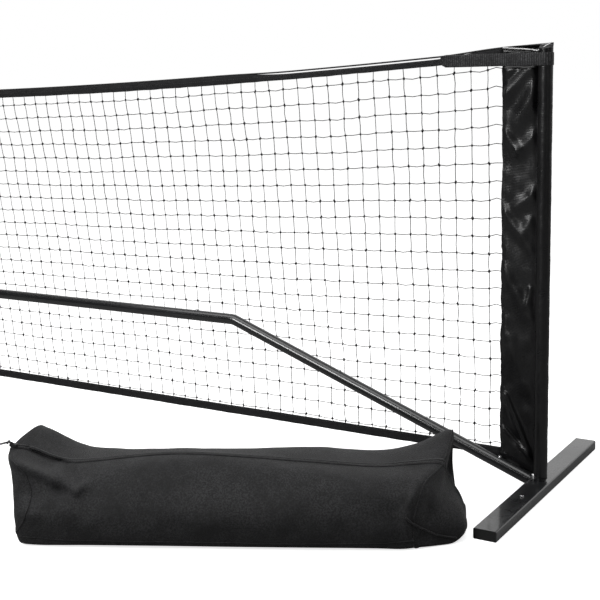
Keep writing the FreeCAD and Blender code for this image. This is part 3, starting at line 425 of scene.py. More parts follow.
def woven_finish(name, colour, light_colour, roughness, threads, depth, sheen, ribs=0.0, **sockets):
    """Woven cloth on the piece's own UV map, whose unit is a metre along the cloth; its thread crests are
    painted lighter as a highlight, unevenly in random patches and slubs.
    """
    material, tree, shader = new_finish(name, colour, roughness, Sheen_Weight=sheen, Sheen_Roughness=0.45,
                                        **sockets)
    cloth = new_node(tree, "ShaderNodeUVMap")
    weave = new_node(tree, "ShaderNodeGroup", node_tree=weave_group, Across=threads[0], Along=threads[1],
                     Ribs=ribs)
    place = new_node(tree, "ShaderNodeTexCoord")
    patches = new_node(tree, "ShaderNodeTexNoise", Scale=14.0, Detail=10.0, Roughness=0.82)
    contrast = remap(tree, 0.34, 0.66)
    slubs = new_node(tree, "ShaderNodeTexNoise", Scale=330.0, Detail=2.0)
    uneven = remap(tree, 0.38, 0.62, 0.2, 1.8)
    blend = multiply(tree)
    mottle = multiply(tree)
    # Painted highlight: the thread crests (weave height) take the lighter colour, more or less in random
    # patches and slubs.
    tint = mix_colours(tree, colour, light_colour)
    bump = new_node(tree, "ShaderNodeBump", Strength=depth, Distance=0.0005)
    wire(tree, (cloth, "UV", weave, "Vector"), (place, "Object", patches, "Vector"),
         (weave, "Height", blend, 0), (patches, "Fac", contrast, "Value"), (contrast, "Result", blend, 1),
         (place, "Object", slubs, "Vector"), (slubs, "Fac", uneven, "Value"), (blend, "Value", mottle, 0),
         (uneven, "Result", mottle, 1), (mottle, "Value", tint, 0), (tint, 2, shader, "Base Color"),
         (weave, "Height", bump, "Height"), (bump, "Normal", shader, "Normal"))
    return material


weave_group, ends_in, ends_out = node_group(
    "ShaderNodeTree", "plain_weave",
    [("Vector", "Vector", None), ("Across", "Float", 900.0), ("Along", "Float", 900.0),
     ("Ribs", "Float", 0.0)],
    [("Height", "Float")])
ribs_only = new_node(weave_group, "ShaderNodeMix", data_type="FLOAT")
split = new_node(weave_group, "ShaderNodeSeparateXYZ")
wire(weave_group, (ends_in, "Vector", split, "Vector"))
waves = []
for axis, socket in (("X", "Across"), ("Y", "Along")):
    threads, angle = multiply(weave_group), multiply(weave_group)
    angle.inputs[1].default_value = math.pi
    wave = new_node(weave_group, "ShaderNodeMath", operation="SINE")
    wire(weave_group, (split, axis, threads, 0), (ends_in, socket, threads, 1),
         (threads, "Value", angle, 0), (angle, "Value", wave, 0))
    waves.append(wave)
crossing = multiply(weave_group)
wire(weave_group, (waves[0], "Value", crossing, 0), (waves[1], "Value", crossing, 1))
level = remap(weave_group, -1.0, 1.0)
wire(weave_group, (ends_in, "Ribs", ribs_only, 0), (crossing, "Value", ribs_only, 2),
     (waves[1], "Value", ribs_only, 3), (ribs_only, 0, level, "Value"),
     (level, "Result", ends_out, "Height"))

# The thread crests are painted lighter (0.03) as a highlight.
webbing = woven_finish("webbing", (0.008, 0.008, 0.009), (0.03, 0.03, 0.032), 0.6, (500, 1400), 0.6, 0.05,
                       Specular_IOR_Level=0.3)
thread, tree, shader = new_finish("sewing_thread", (0.02, 0.02, 0.021), 0.5, Sheen_Weight=0.2)
place = new_node(tree, "ShaderNodeTexCoord")
twist = new_node(tree, "ShaderNodeTexWave", Scale=900.0, Distortion=1.0)
bump = new_node(tree, "ShaderNodeBump", Strength=0.4, Distance=0.0002)
wire(tree, (place, "Object", twist, "Vector"), (twist, "Fac", bump, "Height"),
     (bump, "Normal", shader, "Normal"))


def cloth_mesh(name, rows, material, closed=False, capped=False):
    """A quad mesh through rows of points, with a UV map measured in metres along the cloth."""
    rows = np.asarray(rows, float)
    count, around = rows.shape[:2]
    wrapped = np.concatenate([rows, rows[:, :1]], axis=1) if closed else rows
    across = np.linalg.norm(np.diff(wrapped, axis=1), axis=2).mean(axis=0)
    along = np.linalg.norm(np.diff(rows, axis=0), axis=2).mean(axis=1)
    u = np.concatenate([[0], np.cumsum(across)])
    v = np.concatenate([[0], np.cumsum(along)])
    faces, uvs = [], []
    for i in range(count - 1):
        for j in range(around if closed else around - 1):
            k = (j + 1) % around
            faces.append((i * around + j, i * around + k, (i + 1) * around + k, (i + 1) * around + j))
            uvs += [(u[j], v[i]), (u[j + 1], v[i]), (u[j + 1], v[i + 1]), (u[j], v[i + 1])]
    if capped:
        faces.append(tuple(range(around))[::-1])
        faces.append(tuple((count - 1) * around + j for j in range(around)))
        uvs += [(rows[0, j, 0], rows[0, j, 2]) for j in reversed(range(around))]
        uvs += [(rows[-1, j, 0], rows[-1, j, 2]) for j in range(around)]
    mesh = bpy.data.meshes.new(name)
    mesh.from_pydata([tuple(p) for p in rows.reshape(-1, 3)], [], faces)
    layer = mesh.uv_layers.new(name="cloth")
    layer.data.foreach_set("uv", np.asarray(uvs, np.float32).reshape(-1))
    mesh.materials.append(material)
    mesh.polygons.foreach_set("use_smooth", [True] * len(mesh.polygons))
    sewn = bmesh.new()
    sewn.from_mesh(mesh)
    if closed:
        bmesh.ops.recalc_face_normals(sewn, faces=sewn.faces)
    sewn.to_mesh(mesh)
    sewn.free()
    return put(name, mesh)


stitch_tree, ends_in, ends_out = geometry_tree("stitch_rows", [
    ("Pitch", "Float", 0.0045), ("Length", "Float", 0.003), ("Thickness", "Float", 0.0004),
    ("Material", "Material", None)])
lines = new_node(stitch_tree, "GeometryNodeMeshToCurve")
marks_on_line = new_node(stitch_tree, "GeometryNodeCurveToPoints", mode="LENGTH")
stitch = new_node(stitch_tree, "GeometryNodeMeshCylinder", Vertices=5)
sewn_in = new_node(stitch_tree, "GeometryNodeInstanceOnPoints")
wire(stitch_tree, (ends_in, "Geometry", lines, "Mesh"), (lines, "Curve", marks_on_line, "Curve"),
     (ends_in, "Pitch", marks_on_line, "Length"), (ends_in, "Length", stitch, "Depth"),
     (ends_in, "Thickness", stitch, "Radius"), (marks_on_line, "Points", sewn_in, "Points"),
     (marks_on_line, "Rotation", sewn_in, "Rotation"), (stitch, "Mesh", sewn_in, "Instance"))
end_tree(stitch_tree, sewn_in, "Instances", ends_in, ends_out)


def sew(name, lines, body, pitch=0.0045, length=0.003, thickness=0.0004, material=None):
    """Stitches along lines of points, as one piece."""
    points, edges = [], []
    for line in lines:
        start = len(points)
        points += [tuple(p) for p in line]
        edges += [(start + i, start + i + 1) for i in range(len(line) - 1)]
    values = {"Pitch": pitch, "Length": length, "Thickness": thickness, "Material": material or thread}
    piece = grow(name, points, edges, stitch_tree, values)
    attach(piece, body)
    return piece


TAPE_STEP = 0.012


def turns(count):
    """Angles evenly round a section."""
    return np.linspace(0, 2 * math.pi, count, endpoint=False)


def soft_tape(name, reach, low_edge, high_edge, thickness, seed):
    """A folded tape swept along X; its section is a flat oval that the net's pull makes wavy."""
    stations = np.arange(-reach, reach + TAPE_STEP / 2, TAPE_STEP)
    section = [(math.cos(a), math.sin(a)) for a in turns(14)]
    rows = []
    for x in stations:
        middle = (low_edge(x) + high_edge(x)) / 2
        half_height = (high_edge(x) - low_edge(x)) / 2
        wave = 0.0007 * waver(x, 0, 12, seed)
        row = []
        for up_share, out_share in section:
            flat = math.copysign(abs(up_share) ** 0.45, up_share)
            pull = 0.0008 * waver(x, 0, 34, seed + 1) if up_share < 0 else 0.0
            row.append((x, NET_Y + wave + thickness / 2 * math.copysign(abs(out_share) ** 0.8, out_share),
                        middle + half_height * flat + pull))
        rows.append(row)
    return cloth_mesh(name, rows, webbing, closed=True, capped=True)


REACH = HALF_SPAN - HEM - 0.0003
BAND_DROP, BAND_THICK = 0.0130, 0.003
BAND_UNDER_CORD, BAND_AT_SLEEVE = 0.0066, 0.0085


def band_top(x):
    """The band's upper edge: drawn up at the sleeve, clear of the cord beside it, then against the cord."""
    out = from_post(x)
    against_cord = BAND_UNDER_CORD * ease(0.60, 0.76, out)
    return top_edge(x) + 0.0003 + against_cord + BAND_AT_SLEEVE * (1 - ease(0.10, 0.25, out))


headband = soft_tape("headband_tape", REACH, lambda x: top_edge(x) - BAND_DROP, band_top, BAND_THICK, 21)
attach(headband, "net")
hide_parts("headband")
xs = np.linspace(-REACH + 0.01, REACH - 0.01, 600)
band_seams = []
for drop in (0.0025, 0.0108):
    band_seams.append([(x, NET_Y - 0.0016, top_edge(x) - drop) for x in xs])
    band_seams.append([(x, NET_Y + 0.0016, top_edge(x) - drop) for x in xs])
headband_seams = sew("headband_stitches", band_seams, "net", pitch=0.006, length=0.0035)

TAPE_BOTTOM, TAPE_HEIGHT, TAPE_THICK = 0.056, 0.021, 0.0024


def tape_low(x):
    return TAPE_BOTTOM + 0.0015 * waver(x, 0, 2.5, 31)


main_tape = soft_tape("bottom_tape_run", REACH, tape_low, lambda x: tape_low(x) + TAPE_HEIGHT, TAPE_THICK,
                      33)
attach(main_tape, "net")
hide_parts("bottom_tape")
tape_lines = [[(x, NET_Y + face * 0.0014, TAPE_TOP - 0.004) for x in xs] for face in (-1, 1)]
tape_seams = sew("bottom_tape_stitches", tape_lines, "net", pitch=0.006, length=0.0035)
TAIL_TUCK, TAIL_HALF = 0.020, 0.0085
TAIL_HIGH, TAIL_DROP = 0.0675, 0.037
for side, out in SIDES.items():
    rows = []
    for share in np.linspace(0, 1, 14):
        x = out * (HALF_SPAN - HEM - TAIL_TUCK + share * (HEM - 0.002))
        middle = TAIL_HIGH - TAIL_DROP * share - 0.004 * math.sin(math.pi * share)
        half = TAIL_HALF - 0.004 * share
        curl = 0.0004 * math.sin(9 * share)
        rows.append([(x, NET_Y + 0.0011 * math.cos(a) + curl, middle + half * math.sin(a))
                     for a in turns(12)])
    tail = cloth_mesh("tape_tail_" + side, rows, webbing, closed=True, capped=True)
    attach(tail, "net")

# Tension cord
# A smooth black cord in the top hem. Near each post it pulls straight and stands a little clear of
# the sagging headband, so that a thin line of daylight shows under it.
CORD_RADIUS = 0.00175
CORD_UP, CORD_UP_AT_SLEEVE, CORD_UP_INSIDE = 0.0047, 0.0045, 0.0028


def cord_height(x):
    """Above the band's top edge near each post, and against it further in."""
    out = from_post(x)
    drawn_up = CORD_UP_AT_SLEEVE * (1 - ease(0.10, 0.24, out))
    return top_edge(x) + CORD_UP + drawn_up + CORD_UP_INSIDE * ease(0.6, 0.8, out)


rows = []
for x in np.linspace(-REACH, REACH, 700):
    rows.append([(x, NET_Y + CORD_RADIUS * math.cos(a), cord_height(x) + CORD_RADIUS * math.sin(a))
                 for a in turns(8)])
top_cord = cloth_mesh("top_cord", rows, twine, closed=True, capped=True)
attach(top_cord, "net")
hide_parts("tension_cord")

# Post sleeves
# Glossy black vinyl-coated cloth, sewn into a pocket that drops over the post, with a flat panel
# whose puckered hem holds the net. It is creased on the diagonal from being folded in the bag.
SLEEVE_RADIUS = 0.0142
SLEEVE_TOE, SLEEVE_HEM_LOW = 0.0262, 0.0640
BEHIND_ARM = 0.0105
SLEEVE_TIP = 0.0095
TIP_Y = 0.004

vinyl, tree, shader = new_finish("vinyl", (0.004, 0.004, 0.0045), 0.34, Specular_IOR_Level=0.6)
place = new_node(tree, "ShaderNodeTexCoord")
cloth = new_node(tree, "ShaderNodeUVMap")
grain = new_node(tree, "ShaderNodeTexNoise", Scale=260.0, Detail=4.0)
backing = new_node(tree, "ShaderNodeGroup", node_tree=weave_group, Across=90, Along=620, Ribs=0.85)
crackle = new_node(tree, "ShaderNodeTexNoise", Scale=22.0, Detail=5.0, Distortion=0.6)
spread = remap(tree, 0.35, 0.7, 0.27, 0.42)
fine = new_node(tree, "ShaderNodeBump", Strength=0.18, Distance=0.0004)
threads_under = new_node(tree, "ShaderNodeBump", Strength=0.3, Distance=0.0005)
creases = new_node(tree, "ShaderNodeBump", Strength=0.35, Distance=0.004)
wire(tree, (place, "Object", grain, "Vector"), (place, "Object", crackle, "Vector"),
     (cloth, "UV", backing, "Vector"), (crackle, "Fac", spread, "Value"),
     (spread, "Result", shader, "Roughness"), (crackle, "Fac", creases, "Height"),
     (creases, "Normal", threads_under, "Normal"), (backing, "Height", threads_under, "Height"),
     (threads_under, "Normal", fine, "Normal"), (grain, "Fac", fine, "Height"),
     (fine, "Normal", shader, "Normal"))

# Each fold of the panel: where it starts and ends (distance from the post and height), width, height.
PANEL_FOLDS = (
    ((0.005, 0.900), (0.115, 0.790), 0.017, 0.0080),
    ((0.100, 0.862), (0.060, 0.880), 0.010, 0.0050),
    ((0.010, 0.845), (0.062, 0.760), 0.020, 0.0090),
    ((0.090, 0.850), (0.070, 0.868), 0.008, 0.0040),
    ((0.110, 0.768), (0.060, 0.700), 0.011, 0.0060),
    ((0.010, 0.745), (0.060, 0.700), 0.012, 0.0055),
    ((0.105, 0.590), (0.030, 0.500), 0.012, 0.0050),
    ((0.008, 0.630), (0.062, 0.585), 0.012, 0.0050),
    ((0.034, 0.560), (0.050, 0.520), 0.010, 0.0035),
    ((0.100, 0.470), (0.034, 0.360), 0.015, 0.0050),
    ((0.030, 0.420), (0.036, 0.380), 0.007, 0.0045),
    ((0.090, 0.330), (0.044, 0.215), 0.018, 0.0045),
    ((0.096, 0.165), (0.090, 0.110), 0.008, 0.0050),
    ((0.082, 0.170), (0.026, 0.058), 0.008, 0.0110),
    ((0.098, 0.100), (0.032, 0.058), 0.006, 0.0095),
)


def fold_nearness(a, b, start, end, width):
    """How far along a fold a place lies, and how near it is to the fold's crest."""
    run = Vector(end) - Vector(start)
    away = Vector((a, b)) - Vector(start)
    share = min(max(away.dot(run) / run.length_squared, 0), 1)
    gap = (away - run * share).length
    return share, math.exp(-(gap / width) ** 2)


def fold_height(out, z):
    """How far the panel's folds stand proud at a place on it."""
    total = 0.0
    for start, end, width, height in PANEL_FOLDS:
        share, near = fold_nearness(out, z, start, end, width)
        total += height * near * (0.55 + 0.45 * math.sin(math.pi * (0.15 + 0.7 * share)))
    return total


def sleeve_floor(out, y):
    """The sleeve's lower edge, cut on a slant over the arm and hanging a little lower behind it."""
    over_arm = SLEEVE_TOE + (SLEEVE_HEM_LOW - SLEEVE_TOE) * (out + 0.015) / (HEM + 0.015)
    return over_arm - BEHIND_ARM * ease(0.0, 0.012, out) * ease(0.0040, 0.0120, y)


def sleeve_section(z_share, seed):
    """One loop of the sleeve: back layer from the hem, round the post, front layer to the hem."""
    z_mid = SLEEVE_TOE + (END_HEIGHT - SLEEVE_TOE) * z_share
    hem = HEM + 0.0022 * waver(0, z_mid, 30, seed) + 0.0012 * waver(0, z_mid, 90, seed + 1)
    under_strap = ease(0.868, 0.878, z_mid) * (1 - ease(0.907, 0.912, z_mid))
    calm = (1 - 0.95 * under_strap) * (1 - ease(0.895, 0.912, z_mid))
    clear_arm = ease(0.004, 0.020, z_share * 0.88)
    loop = []
    for out in np.linspace(hem, 0.012, 16):
        loop.append((out, NET_Y + 0.0012 + 0.0010 * calm * waver(out, z_mid, 25, seed + 2)))
    for degrees in np.linspace(-82, 218, 40):
        a = math.radians(degrees)
        swell = 1 + 0.03 * calm * waver(a * 0.02, z_mid, 22, seed + 3)
        swell += 0.05 * calm * abs(waver(a * 0.010, z_mid, 60, seed))
        loop.append((-SLEEVE_RADIUS * swell * math.cos(a), -SLEEVE_RADIUS * swell * math.sin(a)))
    for out in np.linspace(0.0185, hem, 34):
        edge = ease(0.016, 0.030, out) * (1 - 0.7 * ease(hem - 0.012, hem, out))
        fold = (fold_height(out, z_mid) + 0.0020 * (1 + waver(out, z_mid, 34, seed + 4))) * calm * clear_arm
        pucker = 0.0012 * ease(0.07, 0.09, out) * waver(out * 0.3, z_mid, 120, seed + 5)
        loop.append((out, NET_Y - 0.0010 - edge * fold - abs(pucker)))
    folded = []
    for out, y in loop:
        low = sleeve_floor(out, y)
        high = END_HEIGHT + 0.0035 + (SLEEVE_TIP - 0.0035) * min(max((HEM - out) / (HEM + 0.015), 0), 1)
        z = low + (high - low) * z_share
        pressed = 0.88 * ease(END_HEIGHT - 0.001, END_HEIGHT + 0.006, z)
        folded.append((out, y + (TIP_Y - y) * pressed, z))
    return folded


# A near-white cloth painted as the bright glint along the sleeve's top edge, where backdrop light shows
# between strap and sleeve; its crests are painted lighter still.
pale_backing = woven_finish("pale_backing", (0.8, 0.8, 0.8), (0.95, 0.95, 0.95), 0.5, (1500, 1500), 0.3,
                            0.0)
# The front layer's cut edge at the top, from the hem to the tip, where a pale line is painted as a glint:
# out from the post, y and height.
CUT_EDGE = ((0.092, 0.0050, 0.9160), (0.060, 0.0045, 0.9136), (0.030, 0.0030, 0.9110),
            (0.019, 0.0020, 0.9085), (0.014, -0.0060, 0.9095), (0.006, -0.0095, 0.9120),
            (-0.002, -0.0085, 0.9175), (-0.012, -0.0030, 0.9232))


def thicken(piece, thickness):
    """Give a single layer of cloth its thickness, inwards."""
    solid = piece.modifiers.new("cloth", "SOLIDIFY")
    solid.thickness = thickness
    solid.offset = -1


for side, out_sign in SIDES.items():
    rows = []
    for z_share in np.concatenate([np.linspace(0, 0.984, 215), np.linspace(0.986, 1, 14)]):
        loop = sleeve_section(z_share, 41 if side == "right" else 61)
        rows.append([(out_sign * (HALF_SPAN - out), y, z) for out, y, z in loop])
    closed_top = [(x + (out_sign * HALF_SPAN - x) * 0.004, y + (NET_Y * 0.5 - y) * 0.03, z + 0.0002)
                  for x, y, z in rows[-1]]
    sleeve = cloth_mesh("vinyl_sleeve_" + side, rows + [closed_top], vinyl, closed=True)
    top = bmesh.new()
    top.from_mesh(sleeve.data)
    open_top = [e for e in top.edges if e.is_boundary and min(v.co.z for v in e.verts) > 0.913]
    bmesh.ops.triangle_fill(top, edges=open_top, use_beauty=True)
    bmesh.ops.recalc_face_normals(top, faces=top.faces)
    top.to_mesh(sleeve.data)
    top.free()
    thicken(sleeve, 0.0005)
    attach(sleeve, "net")
    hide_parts("sleeve_" + side)
    line = [(out_sign * (HALF_SPAN - HEM + 0.006), NET_Y - 0.0022, z) for z in np.linspace(0.07, 0.87, 60)]
    seam = sew("sleeve_stitches_" + side, [line], "net", pitch=0.006, length=0.004)
    # A thin pale tube along that edge: a painted glint.
    edge_rows = []
    for out, y, z in CUT_EDGE:
        point = Vector((out_sign * (HALF_SPAN - out), y, z))
        edge_rows.append([tuple(point + Vector((0, math.cos(a), math.sin(a))) * 0.0012)
                          for a in turns(8)])
    edge = cloth_mesh("sleeve_edge_glint_" + side, edge_rows, pale_backing, closed=True, capped=True)
    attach(edge, "net")

# Tension straps
# Ribbed webbing 25 mm wide, sewn to the headband, that runs round the outside of the sleeve and
# back again to hold the top of the net up to the post. Its free end is cut round.
STRAP_LOW, STRAP_HEIGHT, STRAP_REACH = 0.880, 0.025, 0.231
STRAP_RADIUS, END_ROUND = 0.0150, 0.006
# The ribs' crests are painted lighter (0.085) as a highlight.
ribbed = woven_finish("ribbed_webbing", (0.008, 0.008, 0.009), (0.085, 0.085, 0.088), 0.55, (1600, 400),
                      1.0, 0.06, ribs=0.9, Specular_IOR_Level=0.35)


def strap_path(side_radius):
    """Plan of the strap's middle line, from its front end round the post to its back end."""
    front, back = NET_Y - 0.0026, NET_Y + 0.0026
    path = [(STRAP_REACH - i * 0.011, front) for i in range(2)]
    start = Vector((STRAP_REACH - 0.011, front))
    away, aim = start.length, math.atan2(start.y, start.x)
    touch = aim - math.acos(side_radius / away)
    contact = Vector((side_radius * math.cos(touch), side_radius * math.sin(touch)))
    path += [tuple(start.lerp(contact, share)) for share in np.linspace(0.05, 1, 20)]
    finish = Vector((STRAP_REACH, back))
    leave = math.atan2(finish.y, finish.x) + math.acos(side_radius / finish.length)
    sweep = np.linspace(touch, leave - 2 * math.pi, 26)
    path += [(side_radius * math.cos(a), side_radius * math.sin(a)) for a in sweep[1:]]
    path += [tuple(Vector(path[-1]).lerp(finish, share)) for share in np.linspace(0.05, 1, 20)]
    return path


for side, out_sign in SIDES.items():
    path = [Vector(p) for p in strap_path(STRAP_RADIUS)]
    length = [0.0]
    for a, b in zip(path, path[1:]):
        length.append(length[-1] + (b - a).length)
    rows = []
    for i, point in enumerate(path):
        ahead, behind = path[min(i + 1, len(path) - 1)], path[max(i - 1, 0)]
        across = Vector((ahead.y - behind.y, behind.x - ahead.x)).normalized()
        end = min(1, min(length[i], length[-1] - length[i]) / END_ROUND)
        round_off = END_ROUND * (1 - math.sqrt(end * (2 - end)))
        sag = 0.0008 * waver(length[i], 0, 18, 71)
        row = []
        for a in turns(16):
            high = 0.5 + 0.5 * math.copysign(abs(math.sin(a)) ** 0.35, math.sin(a))
            thick = 0.00068 * math.copysign(abs(math.cos(a)) ** 0.6, math.cos(a))
            z = STRAP_LOW + round_off + sag + high * (STRAP_HEIGHT - round_off * 1.3)
            row.append((out_sign * (HALF_SPAN - point.x - across.x * thick), point.y + across.y * thick, z))
        rows.append(row)
    strap = cloth_mesh("webbing_strap_" + side, rows, ribbed, closed=True, capped=True)
    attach(strap, "net")
    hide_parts("strap_" + side)
    corners = [(0.006, 0.003), (0.045, 0.003), (0.045, 0.022), (0.006, 0.022), (0.006, 0.003),
               (0.045, 0.022)]
    box_stitch = [(out_sign * (HALF_SPAN - STRAP_REACH + u), NET_Y - 0.0035 - u * 0.1, STRAP_LOW + w)
                  for u, w in corners]
    seam = sew("strap_stitches_" + side, [box_stitch], "net")

# Centre loop
# A short loop of webbing sewn to the front of the headband, which the top of the centre post slides
# through, so that the post holds the middle of the net upright.
LOOP_LOW, LOOP_HEIGHT, LOOP_RADIUS = CENTRE_HEIGHT - 0.060, 0.0597, 0.0114
rows = []
for share in np.linspace(0, 1, 24):
    z = LOOP_LOW + LOOP_HEIGHT * share
    row = []
    for a in turns(40):
        radius = LOOP_RADIUS + 0.0003 * math.sin(3 * a + 9 * share)
        tab = 0.0015 * math.exp(-((a - math.pi / 2) / 0.35) ** 2)
        row.append((radius * math.cos(a), (radius + tab) * math.sin(a), z))
    rows.append(row)
loop = cloth_mesh("webbing_loop", rows, webbing, closed=True)
thicken(loop, 0.0007)
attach(loop, "net")
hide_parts("centre_loop")

# Carry bag
# A long box bag of black woven polyester, half full and lying on the floor in front of the net. Its
# two ends are sewn-in panels, its top corners stand up in points, and its sides sag in soft folds.
BAG_TURN = math.radians(26)
BAG_CORNER = Vector((2.585, -0.733, 0))
along = Vector((math.cos(BAG_TURN), math.sin(BAG_TURN), 0))
back = Vector((-math.sin(BAG_TURN), math.cos(BAG_TURN), 0))


def bag_place(u, v, w):
    return BAG_CORNER + along * u + back * v + Vector((0, 0, w))


# Rings of ten points in millimetres (along, back, up): lower front, front seam, front, front fold,
# zip, back top edge, back, back seam, lower back, under the middle.
BAG_RINGS = (
    ((-12, 25, 2), (-20, 12, 35), (-17, 4, 92), (-27, 30, 142), (-43, 78, 171), (-15, 178, 184),
     (-22, 186, 110), (-25, 182, 20), (-25, 165, 0), (-25, 95, 0)),
    ((-5, 14, 1), (-10, 0, 24), (8, -6, 88), (4, 42, 150), (-8, 90, 168), (2, 182, 182),
     (0, 190, 100), (0, 186, 18), (0, 165, 0), (0, 95, 0)),
    ((30, 12, 0), (30, -5, 20), (36, -9, 82), (42, 44, 137), (36, 92, 150), (38, 184, 161),
     (36, 191, 92), (36, 187, 16), (36, 165, 0), (36, 95, 0)),
    ((70, 14, 0), (70, -8, 18), (72, -12, 76), (84, 36, 119), (72, 93, 141), (74, 184, 145),
     (72, 191, 86), (72, 187, 16), (72, 165, 0), (72, 95, 0)),
    ((125, 16, 0), (125, -10, 18), (125, -14, 72), (125, 30, 124), (118, 92, 143), (120, 183, 137),
     (125, 191, 80), (125, 187, 16), (125, 165, 0), (125, 95, 0)),
    ((270, 18, 0), (270, -12, 18), (270, -17, 74), (270, 34, 139), (275, 92, 158), (265, 182, 134),
     (270, 192, 78), (270, 188, 16), (270, 165, 0), (270, 95, 0)),
    ((410, 18, 0), (410, -12, 17), (410, -18, 74), (410, 34, 137), (410, 92, 153), (410, 183, 134),
     (410, 193, 78), (410, 188, 16), (410, 165, 0), (410, 95, 0)),
    ((550, 18, 0), (550, -11, 17), (550, -16, 72), (550, 30, 130), (550, 92, 143), (548, 183, 140),
     (550, 192, 80), (550, 188, 16), (550, 165, 0), (550, 95, 0)),
    ((670, 16, 0), (670, -8, 18), (672, -12, 72), (674, 26, 122), (672, 92, 135), (672, 183, 135),
     (670, 191, 80), (670, 187, 16), (670, 165, 0), (670, 95, 0)),
    ((722, 12, 0), (720, -4, 20), (724, -6, 76), (730, 26, 124), (742, 92, 140), (752, 184, 150),
     (750, 190, 86), (745, 187, 16), (740, 165, 0), (738, 95, 0)),
    ((754, 16, 1), (745, 1, 22), (749, -1, 78), (768, 30, 124), (803, 93, 141), (824, 182, 178),
     (818, 186, 118), (824, 184, 22), (820, 165, 0), (800, 95, 0)),
    ((790, 28, 0), (788, 18, 18), (797, 22, 54), (802, 50, 84), (806, 98, 98), (810, 168, 104),
     (824, 174, 74), (834, 168, 20), (828, 150, 0), (815, 95, 0)),
    ((820, 42, 0), (834, 40, 14), (838, 46, 38), (834, 70, 60), (828, 104, 68), (826, 142, 68),
     (838, 146, 58), (843, 140, 24), (838, 130, 2), (828, 95, 0)),
    ((832, 70, 4), (846, 68, 16), (848, 72, 30), (844, 86, 42), (843, 104, 46), (846, 122, 46),
     (848, 124, 36), (848, 120, 22), (844, 112, 8), (838, 95, 3)),
)
LEFT_PANEL = (-36, 96, 84)


def smooth_between(points, shares):
    """Values on a smooth curve through evenly numbered points, along the first axis."""
    points = np.asarray(points, float)
    index = np.clip(np.floor(shares).astype(int), 0, len(points) - 2)
    t = (shares - index)[:, None, None]
    before = points[np.clip(index - 1, 0, len(points) - 1)]
    start, end = points[index], points[index + 1]
    after = points[np.clip(index + 2, 0, len(points) - 1)]
    slope0, slope1 = (end - before) / 2, (after - start) / 2
    return ((2 * t ** 3 - 3 * t ** 2 + 1) * start + (t ** 3 - 2 * t ** 2 + t) * slope0
            + (3 * t ** 2 - 2 * t ** 3) * end + (t ** 3 - t ** 2) * slope1)


FINE_ALONG, FINE_AROUND = 13, 12
rings = np.asarray(BAG_RINGS, float)
centre_ring = np.repeat(np.asarray([[LEFT_PANEL]], float), 10, axis=1)
left_mid = rings[:1] * 0.55 + centre_ring * 0.45
all_rings = np.concatenate([left_mid, rings])
shares = np.linspace(0, len(all_rings) - 1, (len(all_rings) - 1) * FINE_ALONG + 1)
dense = smooth_between(all_rings, shares)
doubled = np.concatenate([dense[:, -2:], dense, dense[:, :3]], axis=1)
around = 2 + np.arange(10 * FINE_AROUND) / FINE_AROUND
dense = np.swapaxes(smooth_between(np.swapaxes(doubled, 0, 1), around), 0, 1) / 1000

# The folds in the bag's front: start and end (along, up), width and height of each.
BAG_FOLDS = (
    ((-0.030, 0.160), (0.106, 0.104), 0.0060, 0.0150),
    ((-0.010, 0.168), (0.085, 0.128), 0.0080, -0.0150),
    ((0.050, 0.140), (0.108, 0.103), 0.0050, 0.0080),
    ((0.104, 0.108), (0.130, 0.122), 0.0060, 0.0070),
    ((0.050, 0.112), (0.104, 0.100), 0.006, -0.0110),
    ((-0.010, 0.120), (0.060, 0.085), 0.018, -0.0100),
    ((0.055, 0.100), (0.130, 0.050), 0.014, 0.0060),
    ((-0.012, 0.065), (0.060, 0.070), 0.016, 0.0060),
    ((0.095, 0.095), (0.150, 0.045), 0.022, -0.0045),
    ((0.040, 0.070), (0.130, 0.030), 0.020, 0.0050),
    ((0.200, 0.080), (0.290, 0.060), 0.030, -0.0035),
    ((0.330, 0.060), (0.450, 0.085), 0.030, 0.0040),
    ((0.520, 0.050), (0.600, 0.090), 0.028, -0.0035),
    ((0.640, 0.125), (0.740, 0.085), 0.024, 0.0060),
    ((0.690, 0.100), (0.745, 0.035), 0.017, -0.0060),
    ((0.752, 0.120), (0.728, 0.075), 0.008, 0.0070),
    ((0.728, 0.075), (0.742, 0.012), 0.009, 0.0080),
    ((0.775, 0.090), (0.770, 0.030), 0.012, -0.0070),
    ((0.660, 0.050), (0.735, 0.020), 0.016, 0.0045),
)
soft_seed = Vector((3.7, 1.1, 8.4))
for i in range(dense.shape[0]):
    for j in range(dense.shape[1]):
        u, v, w = dense[i, j]
        push = 0.004 * noise.noise(Vector((u * 7, v * 9, w * 9)) + soft_seed)
        push += 0.0018 * noise.noise(Vector((u * 21, v * 24, w * 30)) + soft_seed)
        if v < 0.09 and 0.01 < w:
            for start, end, width, height in BAG_FOLDS:
                share, near = fold_nearness(u, w, start, end, width)
                push += height * near * math.sin(math.pi * min(0.15 + share, 0.9))
        push *= ease(0.0, 0.03, w)
        dense[i, j] = (u, v - push * (1 if v < 0.1 else -0.6), max(w + 0.5 * push * (w > 0.1), 0.0003))

bag_rows = [[tuple(bag_place(*point)) for point in ring] for ring in dense]
# The thread crests are painted lighter (0.042) as a highlight.
bag_cloth = woven_finish("bag_cloth", (0.006, 0.006, 0.0065), (0.042, 0.042, 0.044), 0.7, (1100, 1100), 0.6,
                         0.12, Specular_IOR_Level=0.3)
bag = cloth_mesh("bag_body", bag_rows, bag_cloth, closed=True, capped=True)
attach(bag, "bag")
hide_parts("bag_shell")


def off_bag(i, j, lift):
    """A point of the bag's surface, lifted off the cloth."""
    point = Vector(dense[i][j])
    return bag_place(*(point + (point - Vector(dense[i].mean(axis=0))).normalized() * lift))


def bag_line(ring_share, start, stop, lift):
    """A line along the bag at a place round its section."""
    column = int(round(ring_share * FINE_AROUND))
    return [off_bag(i, column, lift) for i in range(int(start * FINE_ALONG), int(stop * FINE_ALONG) + 1)]


def bag_seam(ring_share, lift):
    """A line round the bag, on one of its rings."""
    i = int(round(ring_share * FINE_ALONG))
    return [off_bag(i, j % dense.shape[1], lift) for j in range(dense.shape[1] + 1)]


